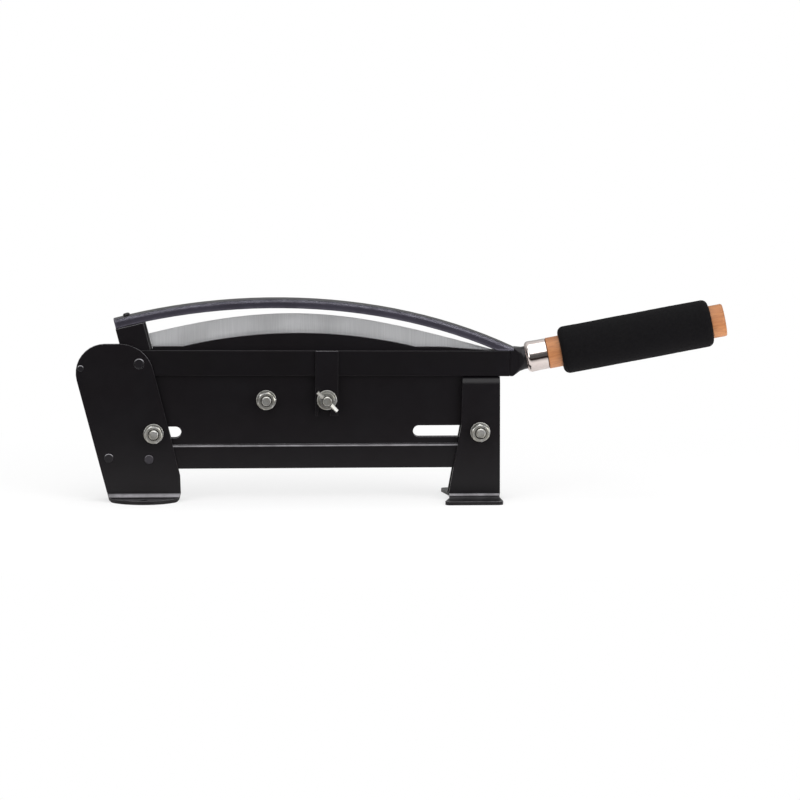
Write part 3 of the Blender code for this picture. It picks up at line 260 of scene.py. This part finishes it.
def baked_enamel(
    name, face, cloud, edge, level, reach=0.5 * MM, slants=SHEET_SLANTS, top_shade=None, highest=None
):
    """Black enamel baked on steel: satin, with a fine orange peel, dust nibs and light edges.

    Face and cloud are its two tones, and level how much it mirrors. Edge is the tone that all
    edges take a little of as wear, and that edges and bends facing obliquely upward take as a
    painted highlight. Edges are read within reach, and the painted highlight turns on at the
    slants. The tone given for the top is painted on what lies level, as a painted shade, and no
    painted highlight shows higher than highest.
    """
    made, tree, shader = new_finish(name)
    where = add_node(tree, "TexCoord", output="Object")
    peel = add_node(tree, "TexNoise", (where, 1 / (1.1 * MM), 3))
    drift = add_node(tree, "TexNoise", (where, 1 / (38 * MM), 2))
    smear = add_node(tree, "TexNoise", (where, 1 / (9 * MM), 4))
    nib = add_node(tree, "TexVoronoi", (where, 1 / (7 * MM)))
    speck = add_node(tree, "MapRange", (nib, 0.02, 0.06, 1, 0))
    clouded = add_node(tree, "MapRange", (drift, *MIDDLE_SPAN, 0, 1))
    base = add_node(tree, "Mix", (clouded, face, cloud), data_type="RGBA")
    any_edge, oblique, above = edge_shares(tree, reach, slants)
    # What lies level is painted darker: painted shade.
    if top_shade:
        base = add_node(tree, "Mix", (above, base, top_shade), data_type="RGBA")
    # Above highest no painted highlight shows.
    if highest:
        rise = add_node(tree, "SeparateXYZ", (where,), "Z")
        below = add_node(tree, "MapRange", (rise, highest, highest + 1 * MM, 1, 0))
        oblique = add_node(tree, "Math", (oblique, below), operation="MULTIPLY")
    # All edges are lightened a little toward the edge tone, as wear.
    faint = add_node(tree, "MapRange", (smear, *NOISE_SPAN, 0.08, 0.28))
    rubbed = add_node(tree, "Math", (any_edge, faint), operation="MULTIPLY")
    # Edges and bends that face obliquely upward get a patchy light line: a painted highlight.
    highlight_breakup = add_node(tree, "MapRange", (smear, 0.35, 0.6, 0.6, 1))
    painted_highlight = add_node(tree, "Math", (oblique, highlight_breakup), operation="MULTIPLY")
    light = add_node(tree, "Math", (rubbed, painted_highlight), operation="MAXIMUM")
    tone = add_node(tree, "Mix", (light, base, edge), data_type="RGBA")
    satin = add_node(tree, "MapRange", (smear, *NOISE_SPAN, 0.285, 0.315))
    dusty = add_node(tree, "Math", (speck, 0.2, satin), operation="MULTIPLY_ADD")
    skin = add_node(tree, "Math", (speck, 0.8, peel), operation="MULTIPLY_ADD")
    bumped = add_node(tree, "Bump", {"Height": skin, "Distance": 0.02 * MM})
    set_inputs(tree, shader, {"Base Color": tone, "Roughness": dusty, "Normal": bumped})
    set_inputs(tree, shader, {"Specular IOR Level": level})
    return made


def ground_blade_steel():
    """Carbon steel ground across its length: fine upright lines, with a slightly clouded shine."""
    made, tree, shader = new_finish("carbon_steel_ground_across")
    where = add_node(tree, "TexCoord", output="Object")
    # Real grit lines are about 0.1 mm apart. They are drawn 0.4 mm apart so that they show.
    upright = add_node(tree, "Mapping", {"Vector": where, "Scale": (1, 1, 1 / 90)})
    lines = add_node(tree, "TexNoise", (upright, 1 / (0.4 * MM), 4, 0.65))
    shorter = add_node(tree, "Mapping", {"Vector": where, "Scale": (1, 1, 1 / 60)})
    bands = add_node(tree, "TexNoise", (shorter, 1 / (3.2 * MM), 2))
    cloud = add_node(tree, "TexNoise", (where, 1 / (24 * MM), 2))
    lit = add_node(tree, "MapRange", (lines, *NOISE_SPAN, 0, 1))
    tone = add_node(tree, "Mix", (lit, "#d2d3d5", "#eaebed"), data_type="RGBA")
    banded = add_node(tree, "MapRange", (bands, 0.35, 0.7, 0, 0.4))
    tone = add_node(tree, "Mix", (banded, tone, "#d6d7da"), data_type="RGBA")
    rough = add_node(tree, "MapRange", (cloud, *NOISE_SPAN, 0.42, 0.5))
    tangent = add_node(tree, "Tangent", direction_type="RADIAL", axis="X")
    bumped = add_node(tree, "Bump", {"Height": lines, "Distance": 0.012 * MM})
    set_inputs(tree, shader, {"Base Color": tone, "Roughness": rough, "Normal": bumped})
    set_inputs(tree, shader, {"Metallic": 1.0, "Anisotropic": 0.6, "Tangent": tangent})
    return made


def zinc_plate():
    """Zinc electroplate on machined steel: a milky shine with faint yellow and blue passivation.

    Its corners and recesses are painted darker, a painted shade read from occlusion.
    """
    made, tree, shader = new_finish("zinc_electroplate")
    where = add_node(tree, "TexCoord", output="Object")
    tint = add_node(tree, "TexNoise", (where, 1 / (4.5 * MM), 3))
    grit = add_node(tree, "TexNoise", (where, 1 / (0.35 * MM), 3))
    tinted = add_node(tree, "MapRange", (tint, *MIDDLE_SPAN, 0, 1))
    tone = add_node(tree, "Mix", (tinted, "#b3b1a8", "#c0c0be"), data_type="RGBA")
    # Painted shade: where occlusion is high, the tone darkens toward a dark grey.
    openness = add_node(tree, "AmbientOcclusion", {"Distance": 1.8 * MM}, "AO", samples=6)
    painted_occlusion = add_node(tree, "MapRange", (openness, 0.35, 0.95, 0.85, 0))
    tone = add_node(tree, "Mix", (painted_occlusion, tone, "#38352f"), data_type="RGBA")
    rough = add_node(tree, "MapRange", (grit, *NOISE_SPAN, 0.26, 0.42))
    bumped = add_node(tree, "Bump", {"Height": grit, "Distance": 0.008 * MM})
    set_inputs(tree, shader, {"Base Color": tone, "Roughness": rough, "Normal": bumped})
    set_inputs(tree, shader, {"Metallic": 1.0})
    return made


def drawn_ferrule_steel():
    """Nickel-plated steel tube, drawn to a taper: a clean mirror, faint rings and soft dents."""
    made, tree, shader = new_finish("nickel_plated_drawn_steel")
    where = add_node(tree, "TexCoord", output="Object")
    around = add_node(tree, "Mapping", {"Vector": where, "Scale": (1 / 60, 1 / 60, 1)})
    rings = add_node(tree, "TexNoise", (around, 1 / (0.5 * MM), 2))
    dents = add_node(tree, "TexNoise", (where, 1 / (7 * MM), 1))
    smudge = add_node(tree, "TexNoise", (where, 1 / (2.5 * MM), 4))
    tone = add_node(tree, "Mix", (smudge, "#dccfca", "#ece4e1"), data_type="RGBA")
    rough = add_node(tree, "MapRange", (smudge, *NOISE_SPAN, 0.05, 0.11))
    dented = add_node(tree, "Bump", {"Height": dents, "Distance": 0.05 * MM})
    ringed = {"Height": rings, "Distance": 0.003 * MM, "Normal": dented}
    bumped = add_node(tree, "Bump", ringed)
    set_inputs(tree, shader, {"Base Color": tone, "Roughness": rough, "Normal": bumped})
    set_inputs(tree, shader, {"Metallic": 1.0})
    return made


def turned_beech():
    """Beech turned on a lathe and lightly oiled: straight grain, short dark flecks and rings.

    Its seams at ferrule and foam are painted darker, a painted shade read from occlusion.
    """
    made, tree, shader = new_finish("beech_turned_and_oiled")
    where = add_node(tree, "TexCoord", output="Object")
    # The tree's middle lies beside the handle, so its rings show as arcs on the ends.
    trunk = add_node(tree, "Mapping", {"Vector": where, "Location": (19 * MM, 7 * MM, 0)})
    long_run = add_node(tree, "Mapping", {"Vector": trunk, "Scale": (1, 1, 1 / 9)})
    wander = add_node(tree, "TexNoise", (long_run, 1 / (14 * MM), 3))
    growth = {"Vector": trunk, "Scale": 1 / (2 * math.pi * 1.1 * MM)}
    growth.update({"Distortion": 1.6, "Detail": 2.0, "Detail Scale": 0.4})
    rings = add_node(tree, "TexWave", growth, "Fac", wave_type="RINGS", rings_direction="Z")
    short_run = add_node(tree, "Mapping", {"Vector": trunk, "Scale": (1, 1, 1 / 14)})
    pores = add_node(tree, "TexNoise", (short_run, 1 / (0.5 * MM), 2, 0.6))
    warmth = add_node(tree, "MapRange", (wander, *NOISE_SPAN, 0, 1))
    tone = add_node(tree, "Mix", (warmth, "#a2683d", "#b67b49"), data_type="RGBA")
    late = add_node(tree, "MapRange", (rings, 0, 0.8, 0.55, 0))
    tone = add_node(tree, "Mix", (late, tone, "#9a6037"), data_type="RGBA")
    fleck = add_node(tree, "MapRange", (pores, 0.28, 0.45, 0.75, 0))
    tone = add_node(tree, "Mix", (fleck, tone, "#70421f"), data_type="RGBA")
    # Painted shade: the seams darken toward a dark brown where occlusion is high.
    openness = add_node(tree, "AmbientOcclusion", {"Distance": 1.6 * MM}, "AO", samples=6)
    painted_occlusion = add_node(tree, "MapRange", (openness, 0.45, 0.8, 0.85, 0))
    tone = add_node(tree, "Mix", (painted_occlusion, tone, "#3f2412"), data_type="RGBA")
    rough = add_node(tree, "MapRange", (pores, *NOISE_SPAN, 0.55, 0.4))
    bumped = add_node(tree, "Bump", {"Height": pores, "Distance": 0.05 * MM})
    set_inputs(tree, shader, {"Base Color": tone, "Roughness": rough, "Normal": bumped})
    set_inputs(tree, shader, {"IOR": 1.48})
    return made


def sleeve_foam():
    """Closed-cell rubber foam, skinned by a hot knife: deep matte black with tiny open cells."""
    made, tree, shader = new_finish("nitrile_foam_extruded")
    where = add_node(tree, "TexCoord", output="Object")
    cells = add_node(tree, "TexVoronoi", (where, 1 / (0.7 * MM)))
    skin = add_node(tree, "TexNoise", (where, 1 / (2.4 * MM), 4))
    tone = add_node(tree, "Mix", (skin, "#060507", "#0a090b"), data_type="RGBA")
    rough = add_node(tree, "MapRange", (skin, *NOISE_SPAN, 0.82, 0.95))
    pitted = add_node(tree, "Math", (skin, 0.5, cells), operation="MULTIPLY_ADD")
    bumped = add_node(tree, "Bump", {"Height": pitted, "Distance": 0.12 * MM})
    set_inputs(tree, shader, {"Base Color": tone, "Roughness": rough, "Normal": bumped})
    set_inputs(tree, shader, {"Specular IOR Level": 0.14})
    return made


# On sheet the enamel is near black. All edges are a little lighter as wear, and edges and
# bends that face obliquely upward carry light lines, a painted highlight. The lipped sheet has
# none on its lip. On bars and forgings edges are hardly lighter than faces.
SHEET_TONES = {"face": "#0e0b0e", "cloud": "#0f0d10", "edge": "#838185", "level": 0.27}
SHEET_ENAMEL = baked_enamel("enamel_baked_on_sheet", **SHEET_TONES)
LIP_ENAMEL = baked_enamel("enamel_baked_on_lipped_sheet", **SHEET_TONES, highest=70 * MM)
BAR_ENAMEL = baked_enamel("enamel_baked_on_bar", "#0d0b0d", "#0e0c0f", "#242226", 0.26)
# Rivet heads have light rims, partly wear and partly painted highlight, and one is rubbed to
# grey all over.
RING_ENAMEL = baked_enamel("enamel_on_rivet_heads", "#0f0d10", "#18161a", "#b3b1b6", 0.4)
RUBBED_ENAMEL = baked_enamel("enamel_rubbed_on_a_rivet", "#262429", "#302e33", "#6f6d72", 0.4)
# The bow is a bluish grey. One long light line below its top is a painted highlight, and its
# top is painted dark as painted shade.
BOW_TONES = {"face": "#2f2d35", "cloud": "#36343d", "edge": "#b9b7c6", "top_shade": "#100f13"}
BOW_ENAMEL = baked_enamel(
    "enamel_baked_on_bent_bar", **BOW_TONES, level=0.22, reach=4 * MM, slants=BOW_SLANTS
)
BLADE_STEEL = ground_blade_steel()
ZINC = zinc_plate()
FERRULE_STEEL = drawn_ferrule_steel()
BEECH = turned_beech()
FOAM = sleeve_foam()


def stand_for(node, shape, finish, place=None, smooth_angle=40):
    """Makes a shape the piece that shows for a CAD node, on the same body."""
    mesh = bpy.data.meshes.new(node + "_look")
    shape.to_mesh(mesh)
    shape.free()
    mesh.shade_smooth()
    mesh.set_sharp_from_angle(angle=math.radians(smooth_angle))
    mesh.materials.append(finish)
    piece = bpy.data.objects.new(node + "_look", mesh)
    bpy.context.scene.collection.objects.link(piece)
    if place:
        piece.matrix_world = place
    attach(piece, NODES[node]["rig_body"])
    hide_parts(node)
    return piece


def eased(node, width, finish, segments=3):
    """A CAD node's form with whole flat faces and rounded edges."""
    shape = bmesh.new()
    shape.from_mesh(NODES[node].data)
    bmesh.ops.remove_doubles(shape, verts=shape.verts, dist=WELD_REACH)
    bmesh.ops.dissolve_limit(
        shape, angle_limit=LEVEL_WITHIN, verts=shape.verts, edges=shape.edges
    )
    piece = stand_for(node, shape, finish)
    bevel = piece.modifiers.new("eased_edges", "BEVEL")
    bevel.width = width
    bevel.segments = segments
    bevel.limit_method = "ANGLE"
    bevel.angle_limit = EASED_FROM
    bevel.miter_outer = "MITER_ARC"
    # The rounded edges stand for the sharp ones, and the flat faces keep level shading.
    piece.data.shade_smooth()
    shading = piece.modifiers.new("face_shading", "WEIGHTED_NORMAL")
    shading.keep_sharp = False
    shading.weight = FACE_WEIGHT


def rings_to_shape(rings, closed=False):
    """Skins rings of equal length. An open row gets end caps, a closed one joins end to end."""
    shape = bmesh.new()
    rows = [[shape.verts.new(point) for point in ring] for ring in rings]
    pairs = list(zip(rows, rows[1:]))
    if closed:
        pairs.append((rows[-1], rows[0]))
    for row, following in pairs:
        for i in range(len(row)):
            j = (i + 1) % len(row)
            shape.faces.new((row[i], row[j], following[j], following[i]))
    if not closed:
        shape.faces.new(rows[0])
        shape.faces.new(rows[-1])
    bmesh.ops.recalc_face_normals(shape, faces=shape.faces)
    return shape


def turned(profile, closed=False, segments=TURN_SEGMENTS):
    """Turns (height, radius) points about Z. A radius may be a function of the angle."""
    rings = []
    for height, radius in profile:
        ring = []
        for i in range(segments):
            angle = 2 * math.pi * i / segments
            reach = radius(angle) if callable(radius) else radius
            ring.append((reach * math.cos(angle), reach * math.sin(angle), height))
        rings.append(ring)
    return rings_to_shape(rings, closed)


def quarter(outer, ease, steps=ROUND_STEPS):
    """A quarter round from the start's face out to a radius, as (height, radius) points."""
    turns = [math.pi / 2 * step / steps for step in range(steps + 1)]
    return [(ease * (1 - math.cos(t)), outer - ease * (1 - math.sin(t))) for t in turns]


def at_far_end(points, length):
    """The points of a shape's start, for its far end."""
    return [(length - height, radius) for height, radius in reversed(points)]


def across(node, side, spin=0.0):
    """A place whose Z axis runs out through a node's middle, toward the front or the rear."""
    low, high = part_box(node)
    middle = (low + high) / 2
    start = high.y if side == FRONT else low.y
    outward = Matrix.Rotation(math.radians(90 if side == FRONT else -90), 4, "X")
    turn = outward @ Matrix.Rotation(spin, 4, "Z")
    return Matrix.Translation((middle.x, start, middle.z)) @ turn


def depth_of(node):
    low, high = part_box(node)
    return high.y - low.y


def width_of(node):
    low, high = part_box(node)
    return high.z - low.z


def ring_piece(node, side, ease):
    """A washer, bush or spacer with eased outer edges and slightly broken inner ones."""
    depth, mouth = depth_of(node), WASHER_BORE + ease / 2
    edge = quarter(width_of(node) / 2, ease, RING_STEPS)
    profile = [(0, mouth)] + edge + at_far_end(edge, depth)
    profile += [(depth, mouth), (depth - ease / 2, WASHER_BORE), (ease / 2, WASHER_BORE)]
    stand_for(node, turned(profile, closed=True), ZINC, across(node, side))


def hexagon(angle):
    offset = (angle + math.pi / 6) % (math.pi / 3) - math.pi / 6
    return ACROSS_FLATS / 2 / math.cos(offset)


def chamfered_hexagon(depth):
    """A hexagon's radius at a depth below its chamfered face."""
    cone = ACROSS_FLATS / 2 * CHAMFER_START + depth / CHAMFER_SLOPE
    return lambda angle: min(hexagon(angle), cone)


def nut(node, side, spin):
    """A hexagon nut with a turned chamfer on both faces and a countersunk bore."""
    height, mouth = depth_of(node), NUT_BORE + NUT_COUNTERSINK
    chamfer = [(depth, chamfered_hexagon(depth)) for depth in CHAMFER_DEPTHS]
    profile = [(0, mouth)] + chamfer + at_far_end(chamfer, height)
    profile += [(height, mouth), (height - NUT_COUNTERSINK, NUT_BORE), (NUT_COUNTERSINK, NUT_BORE)]
    place = across(node, side, spin)
    stand_for(node, turned(profile, closed=True), ZINC, place, smooth_angle=20)


def thread_radius(height, point, angle):
    """The radius of a cut thread at a height and angle, with a chamfered point."""
    phase = (height / THREAD_PITCH - angle / (2 * math.pi)) % 1
    groove = THREAD_DEPTH * (1 - abs(2 * phase - 1)) ** THREAD_FLANK
    cone = THREAD_RADIUS - POINT_DROP + (point - height) * POINT_SLOPE
    return min(THREAD_RADIUS - groove, cone)


def threaded_end(start, point):
    """Profile points of a threaded end, up to its slightly dished face."""
    count = int((point - start) / THREAD_PITCH * THREAD_RINGS)
    heights = [start + (point - start) * step / count for step in range(count + 1)]
    profile = [(at, lambda angle, at=at: thread_radius(at, point, angle)) for at in heights]
    return profile + [(point + lift, radius) for lift, radius in POINT_DISH]


def hexagon_bolt(node, threaded, spin):
    """A bolt from a hexagon head at the rear to a threaded point at the front."""
    length = depth_of(node)
    profile = list(HEAD_DISH)
    profile += [(depth, chamfered_hexagon(depth)) for depth in CHAMFER_DEPTHS]
    profile += [(HEAD_DEPTH, hexagon), (HEAD_DEPTH, THREAD_RADIUS)]
    profile += threaded_end(length - threaded, length)
    stand_for(node, turned(profile), ZINC, across(node, FRONT, spin), smooth_angle=25)


def handle_place(node):
    """The place of a node's start, with Z along the handle, and the node's length and radius."""
    along = Vector((math.cos(HANDLE_RISE), 0, math.sin(HANDLE_RISE)))
    above = Vector((-math.sin(HANDLE_RISE), 0, math.cos(HANDLE_RISE)))
    points = [v.co for v in NODES[node].data.vertices]
    runs = [p.dot(along) for p in points]
    lifts = [p.dot(above) for p in points]
    start = along * min(runs) + above * ((max(lifts) + min(lifts)) / 2)
    turn = Matrix((above, Vector((0, -1, 0)), along)).transposed().to_4x4()
    length, radius = max(runs) - min(runs), (max(lifts) - min(lifts)) / 2
    return Matrix.Translation(start) @ turn, length, radius


def foam_sleeve():
    """The sleeve: rounded ends, a slack surface that swells and dips a little, and a bore."""
    place, length, radius = handle_place("foam_grip")
    outer = radius - FOAM_INSET
    start_round = quarter(outer, FOAM_ROUND)
    run = length - 2 * FOAM_ROUND
    middle = [(FOAM_ROUND + run * step / FOAM_RINGS, outer) for step in range(1, FOAM_RINGS)]
    profile = [(0, FOAM_BORE)] + start_round + middle
    profile += at_far_end(start_round, length) + [(length, FOAM_BORE)]
    shape = turned(profile, closed=True, segments=FOAM_SEGMENTS)
    for vert in shape.verts:
        reach = math.hypot(vert.co.x, vert.co.y)
        if reach > FOAM_BORE + FOAM_SKIN:
            swell = noise.noise(vert.co / FOAM_SWELL_RUN) * FOAM_SWELL
            dimple = noise.noise(vert.co / FOAM_DIMPLE_RUN) * FOAM_DIMPLE
            share = (reach + swell + dimple) / reach
            vert.co.x *= share
            vert.co.y *= share
    sleeve = stand_for("foam_grip", shape, FOAM, place, smooth_angle=60)


def wooden_handle():
    """The wood from its tenon in the ferrule, through the foam, to the knob past it."""
    place, length, _ = handle_place("wooden_handle")
    ferrule_place, ferrule_length, ferrule_radius = handle_place("ferrule")
    foam_place, foam_length, _ = handle_place("foam_grip")
    inside = ferrule_length - (ferrule_place.translation - place.translation).length
    step = inside + SEAT_GAP
    foam_end = (foam_place.translation - place.translation).length + foam_length
    tenon_end = ferrule_radius - FERRULE_WALL - TENON_SLACK
    profile = [TENON_DISH, (0, TENON_START), (step - WOOD_STEP_START, tenon_end)]
    profile += [(step, WOOD_RADIUS - WOOD_STEP), (step + WOOD_STEP_RUN, WOOD_RADIUS)]
    profile += [(foam_end, WOOD_RADIUS), (foam_end + SEAT_GAP, WOOD_KNOB)]
    profile += at_far_end(quarter(WOOD_KNOB, WOOD_EASE), length)
    profile += [(length, WOOD_KNOB / 2), (length, WOOD_CENTRE)]
    stand_for("wooden_handle", turned(profile), BEECH, place, smooth_angle=50)


def ferrule():
    """The tapered ferrule with its rolled front rim and a small flare at the wood."""
    place, length, _ = handle_place("ferrule")
    start, inner, rim, wall = FERRULE_START, FERRULE_BORE, FERRULE_ROUND, FERRULE_WALL
    profile = [(FERRULE_BREAK, inner), (0, inner + FERRULE_BREAK)] + quarter(start, rim)
    for step in range(1, FERRULE_RINGS + 1):
        share = step / FERRULE_RINGS
        waist = FERRULE_WAIST * math.sin(math.pi * share)
        taper = start + (FERRULE_END - start) * share
        profile.append((rim + (length - rim) * share, taper - waist))
    profile += [(length, FERRULE_END - wall), (wall, start - wall), (wall, inner)]
    stand_for("ferrule", turned(profile, closed=True), FERRULE_STEEL, place, smooth_angle=50)


def fasteners():
    """Bolts, nuts, washers, bushes and spacers of the four M8 places, and those of the pivot."""
    for label, spin in BOLT_SPINS:
        nut(label + "_nut", FRONT, spin)
        hexagon_bolt(label, BOLT_THREAD, spin + HEAD_SPIN)
        ring_piece(label + "_washer_front", FRONT, WASHER_EASE)
        ring_piece(label + "_washer_rear", REAR, WASHER_EASE)
        ring_piece(label + "_spacer", FRONT, BUSH_EASE)
    for label in ("left_bolt", "right_bolt"):
        ring_piece(label + "_bush_front", FRONT, BUSH_EASE)
        ring_piece(label + "_bush_rear", REAR, BUSH_EASE)
    hexagon_bolt("lock_stud", STUD_THREAD, STUD_SPIN)
    ring_piece("lock_washer_front", FRONT, WASHER_EASE)
    ring_piece("lock_washer_rear", REAR, WASHER_EASE)
    ring_piece("lock_spacer", FRONT, BUSH_EASE)
    ring_piece("lock_bush", FRONT, BUSH_EASE)
    ring_piece("pivot_washer", REAR, WASHER_EASE)
    nut("pivot_nut", REAR, PIVOT_SPIN)


def eased_pieces():
    """The pieces that keep their CAD form, with eased edges and a finish."""
    for side in ("front", "rear"):
        for name in ("bed_plate", "left_foot", "backing_plate"):
            eased(f"{name}_{side}", SHEET_EASE, SHEET_ENAMEL)
        eased(f"right_foot_{side}", SHEET_EASE, LIP_ENAMEL)
        eased(f"bar_{side}", BAR_EASE, BAR_ENAMEL)
    eased("lock_strap", SHEET_EASE, SHEET_ENAMEL)
    eased("hinge_link", BAR_EASE, SHEET_ENAMEL)
    eased("heel_and_neck", FORGED_EASE, BAR_ENAMEL)
    eased("bow_arm", SHEET_EASE, BOW_ENAMEL)
    eased("blade", BLADE_EASE, BLADE_STEEL, segments=2)
    for name in ("tie_rivet_upper", "tie_rivet_lower_left", "pivot_pin"):
        eased(name, RIVET_EASE, RING_ENAMEL)
    eased("tie_rivet_lower_right", RIVET_EASE, RUBBED_ENAMEL)
    eased("bow_screw", SCREW_EASE, BAR_ENAMEL)
    for number in (1, 2, 3):
        eased(f"blade_screw_{number}", SCREW_EASE, ZINC)
    eased("wing_nut", WING_EASE, ZINC)


def floor():
    """A white floor that keeps the shadow near the object and turns plain white farther out."""
    made, tree, shader = new_finish("matte_white_floor")
    tree.nodes.remove(shader)
    where = add_node(tree, "TexCoord", output="Object")
    reach = add_node(tree, "VectorMath", (where, SHADOW_STRETCH), operation="MULTIPLY")
    distance = add_node(tree, "VectorMath", (reach,), operation="LENGTH")
    fade = (distance, *SHADOW_FADE, *SHADOW_WHITES)
    whiteness = add_node(tree, "MapRange", fade, interpolation_type="SMOOTHSTEP")
    matte = add_node(tree, "BsdfDiffuse", {"Color": "#f4f4f4"})
    white = add_node(tree, "Emission", {"Color": "#ffffff", "Strength": 1.0})
    seen = add_node(tree, "MixShader", (whiteness, matte, white))
    along = add_node(tree, "SeparateXYZ", (where,), "Y")
    in_front = add_node(tree, "MapRange", (along, *PAPER_FADE, 1, 0))
    paper = add_node(tree, "Mix", (in_front, "#e6e4e3", "#241f1e"), data_type="RGBA")
    plain = add_node(tree, "BsdfDiffuse", {"Color": paper})
    camera_ray = add_node(tree, "LightPath", output="Is Camera Ray")
    both = add_node(tree, "MixShader", (camera_ray, plain, seen))
    tree.links.new(both, tree.nodes["Material Output"].inputs["Surface"])
    mesh = bpy.data.meshes.new("floor")
    mesh.from_pydata(FLOOR_CORNERS, [], [(0, 1, 2, 3)])
    mesh.materials.append(made)
    plane = bpy.data.objects.new("floor", mesh)
    bpy.context.scene.collection.objects.link(plane)


def world():
    """White for the camera. Finishes mirror a room, bright above and behind and dim in front."""
    room = bpy.data.worlds.new("studio")
    bpy.context.scene.world = room
    room.use_nodes = True
    tree = room.node_tree
    toward = add_node(tree, "TexCoord", output="Generated")
    depth = add_node(tree, "SeparateXYZ", (toward,), "Y")
    height = add_node(tree, "SeparateXYZ", (toward,), "Z")
    behind = add_node(tree, "MapRange", (depth, *ROOM_BEHIND))
    above = add_node(tree, "MapRange", (height, *ROOM_ABOVE))
    level = add_node(tree, "Math", (behind, above), operation="ADD")
    camera_ray = add_node(tree, "LightPath", output="Is Camera Ray")
    strength = add_node(tree, "Mix", (camera_ray, level, 1.0), data_type="FLOAT")
    set_inputs(tree, tree.nodes["Background"], {"Color": "#ffffff", "Strength": strength})


def area_lamp(name, place, aim, width, height, level, mirrored):
    """A soft rectangular lamp. One that isn't mirrored gives light but shows in no finish."""
    light = bpy.data.lights.new(name, "AREA")
    light.shape = "RECTANGLE"
    light.size = width
    light.size_y = height
    light.energy = level * math.pi * width * height
    lamp = bpy.data.objects.new(name, light)
    lamp.location = place
    lamp.rotation_euler = (Vector(aim) - Vector(place)).to_track_quat("-Z", "Y").to_euler()
    lamp.visible_camera = False
    lamp.visible_glossy = mirrored
    bpy.context.scene.collection.objects.link(lamp)


def camera():
    data = bpy.data.cameras.new("camera")
    data.lens = LENS
    data.sensor_width = SENSOR
    viewer = bpy.data.objects.new("camera", data)
    bpy.context.scene.collection.objects.link(viewer)
    back = -CAMERA_LOOK.normalized()
    right = Vector((0, 0, 1)).cross(back).normalized()
    turn = Matrix((right, back.cross(right), back)).transposed().to_4x4()
    viewer.matrix_world = Matrix.Translation(CAMERA_PLACE) @ turn
    bpy.context.scene.camera = viewer


camera()
world()
floor()
for lamp in LAMPS:
    area_lamp(*lamp)
eased_pieces()
fasteners()
foam_sleeve()
wooden_handle()
ferrule()

bpy.context.scene.view_settings.view_transform = "Standard"
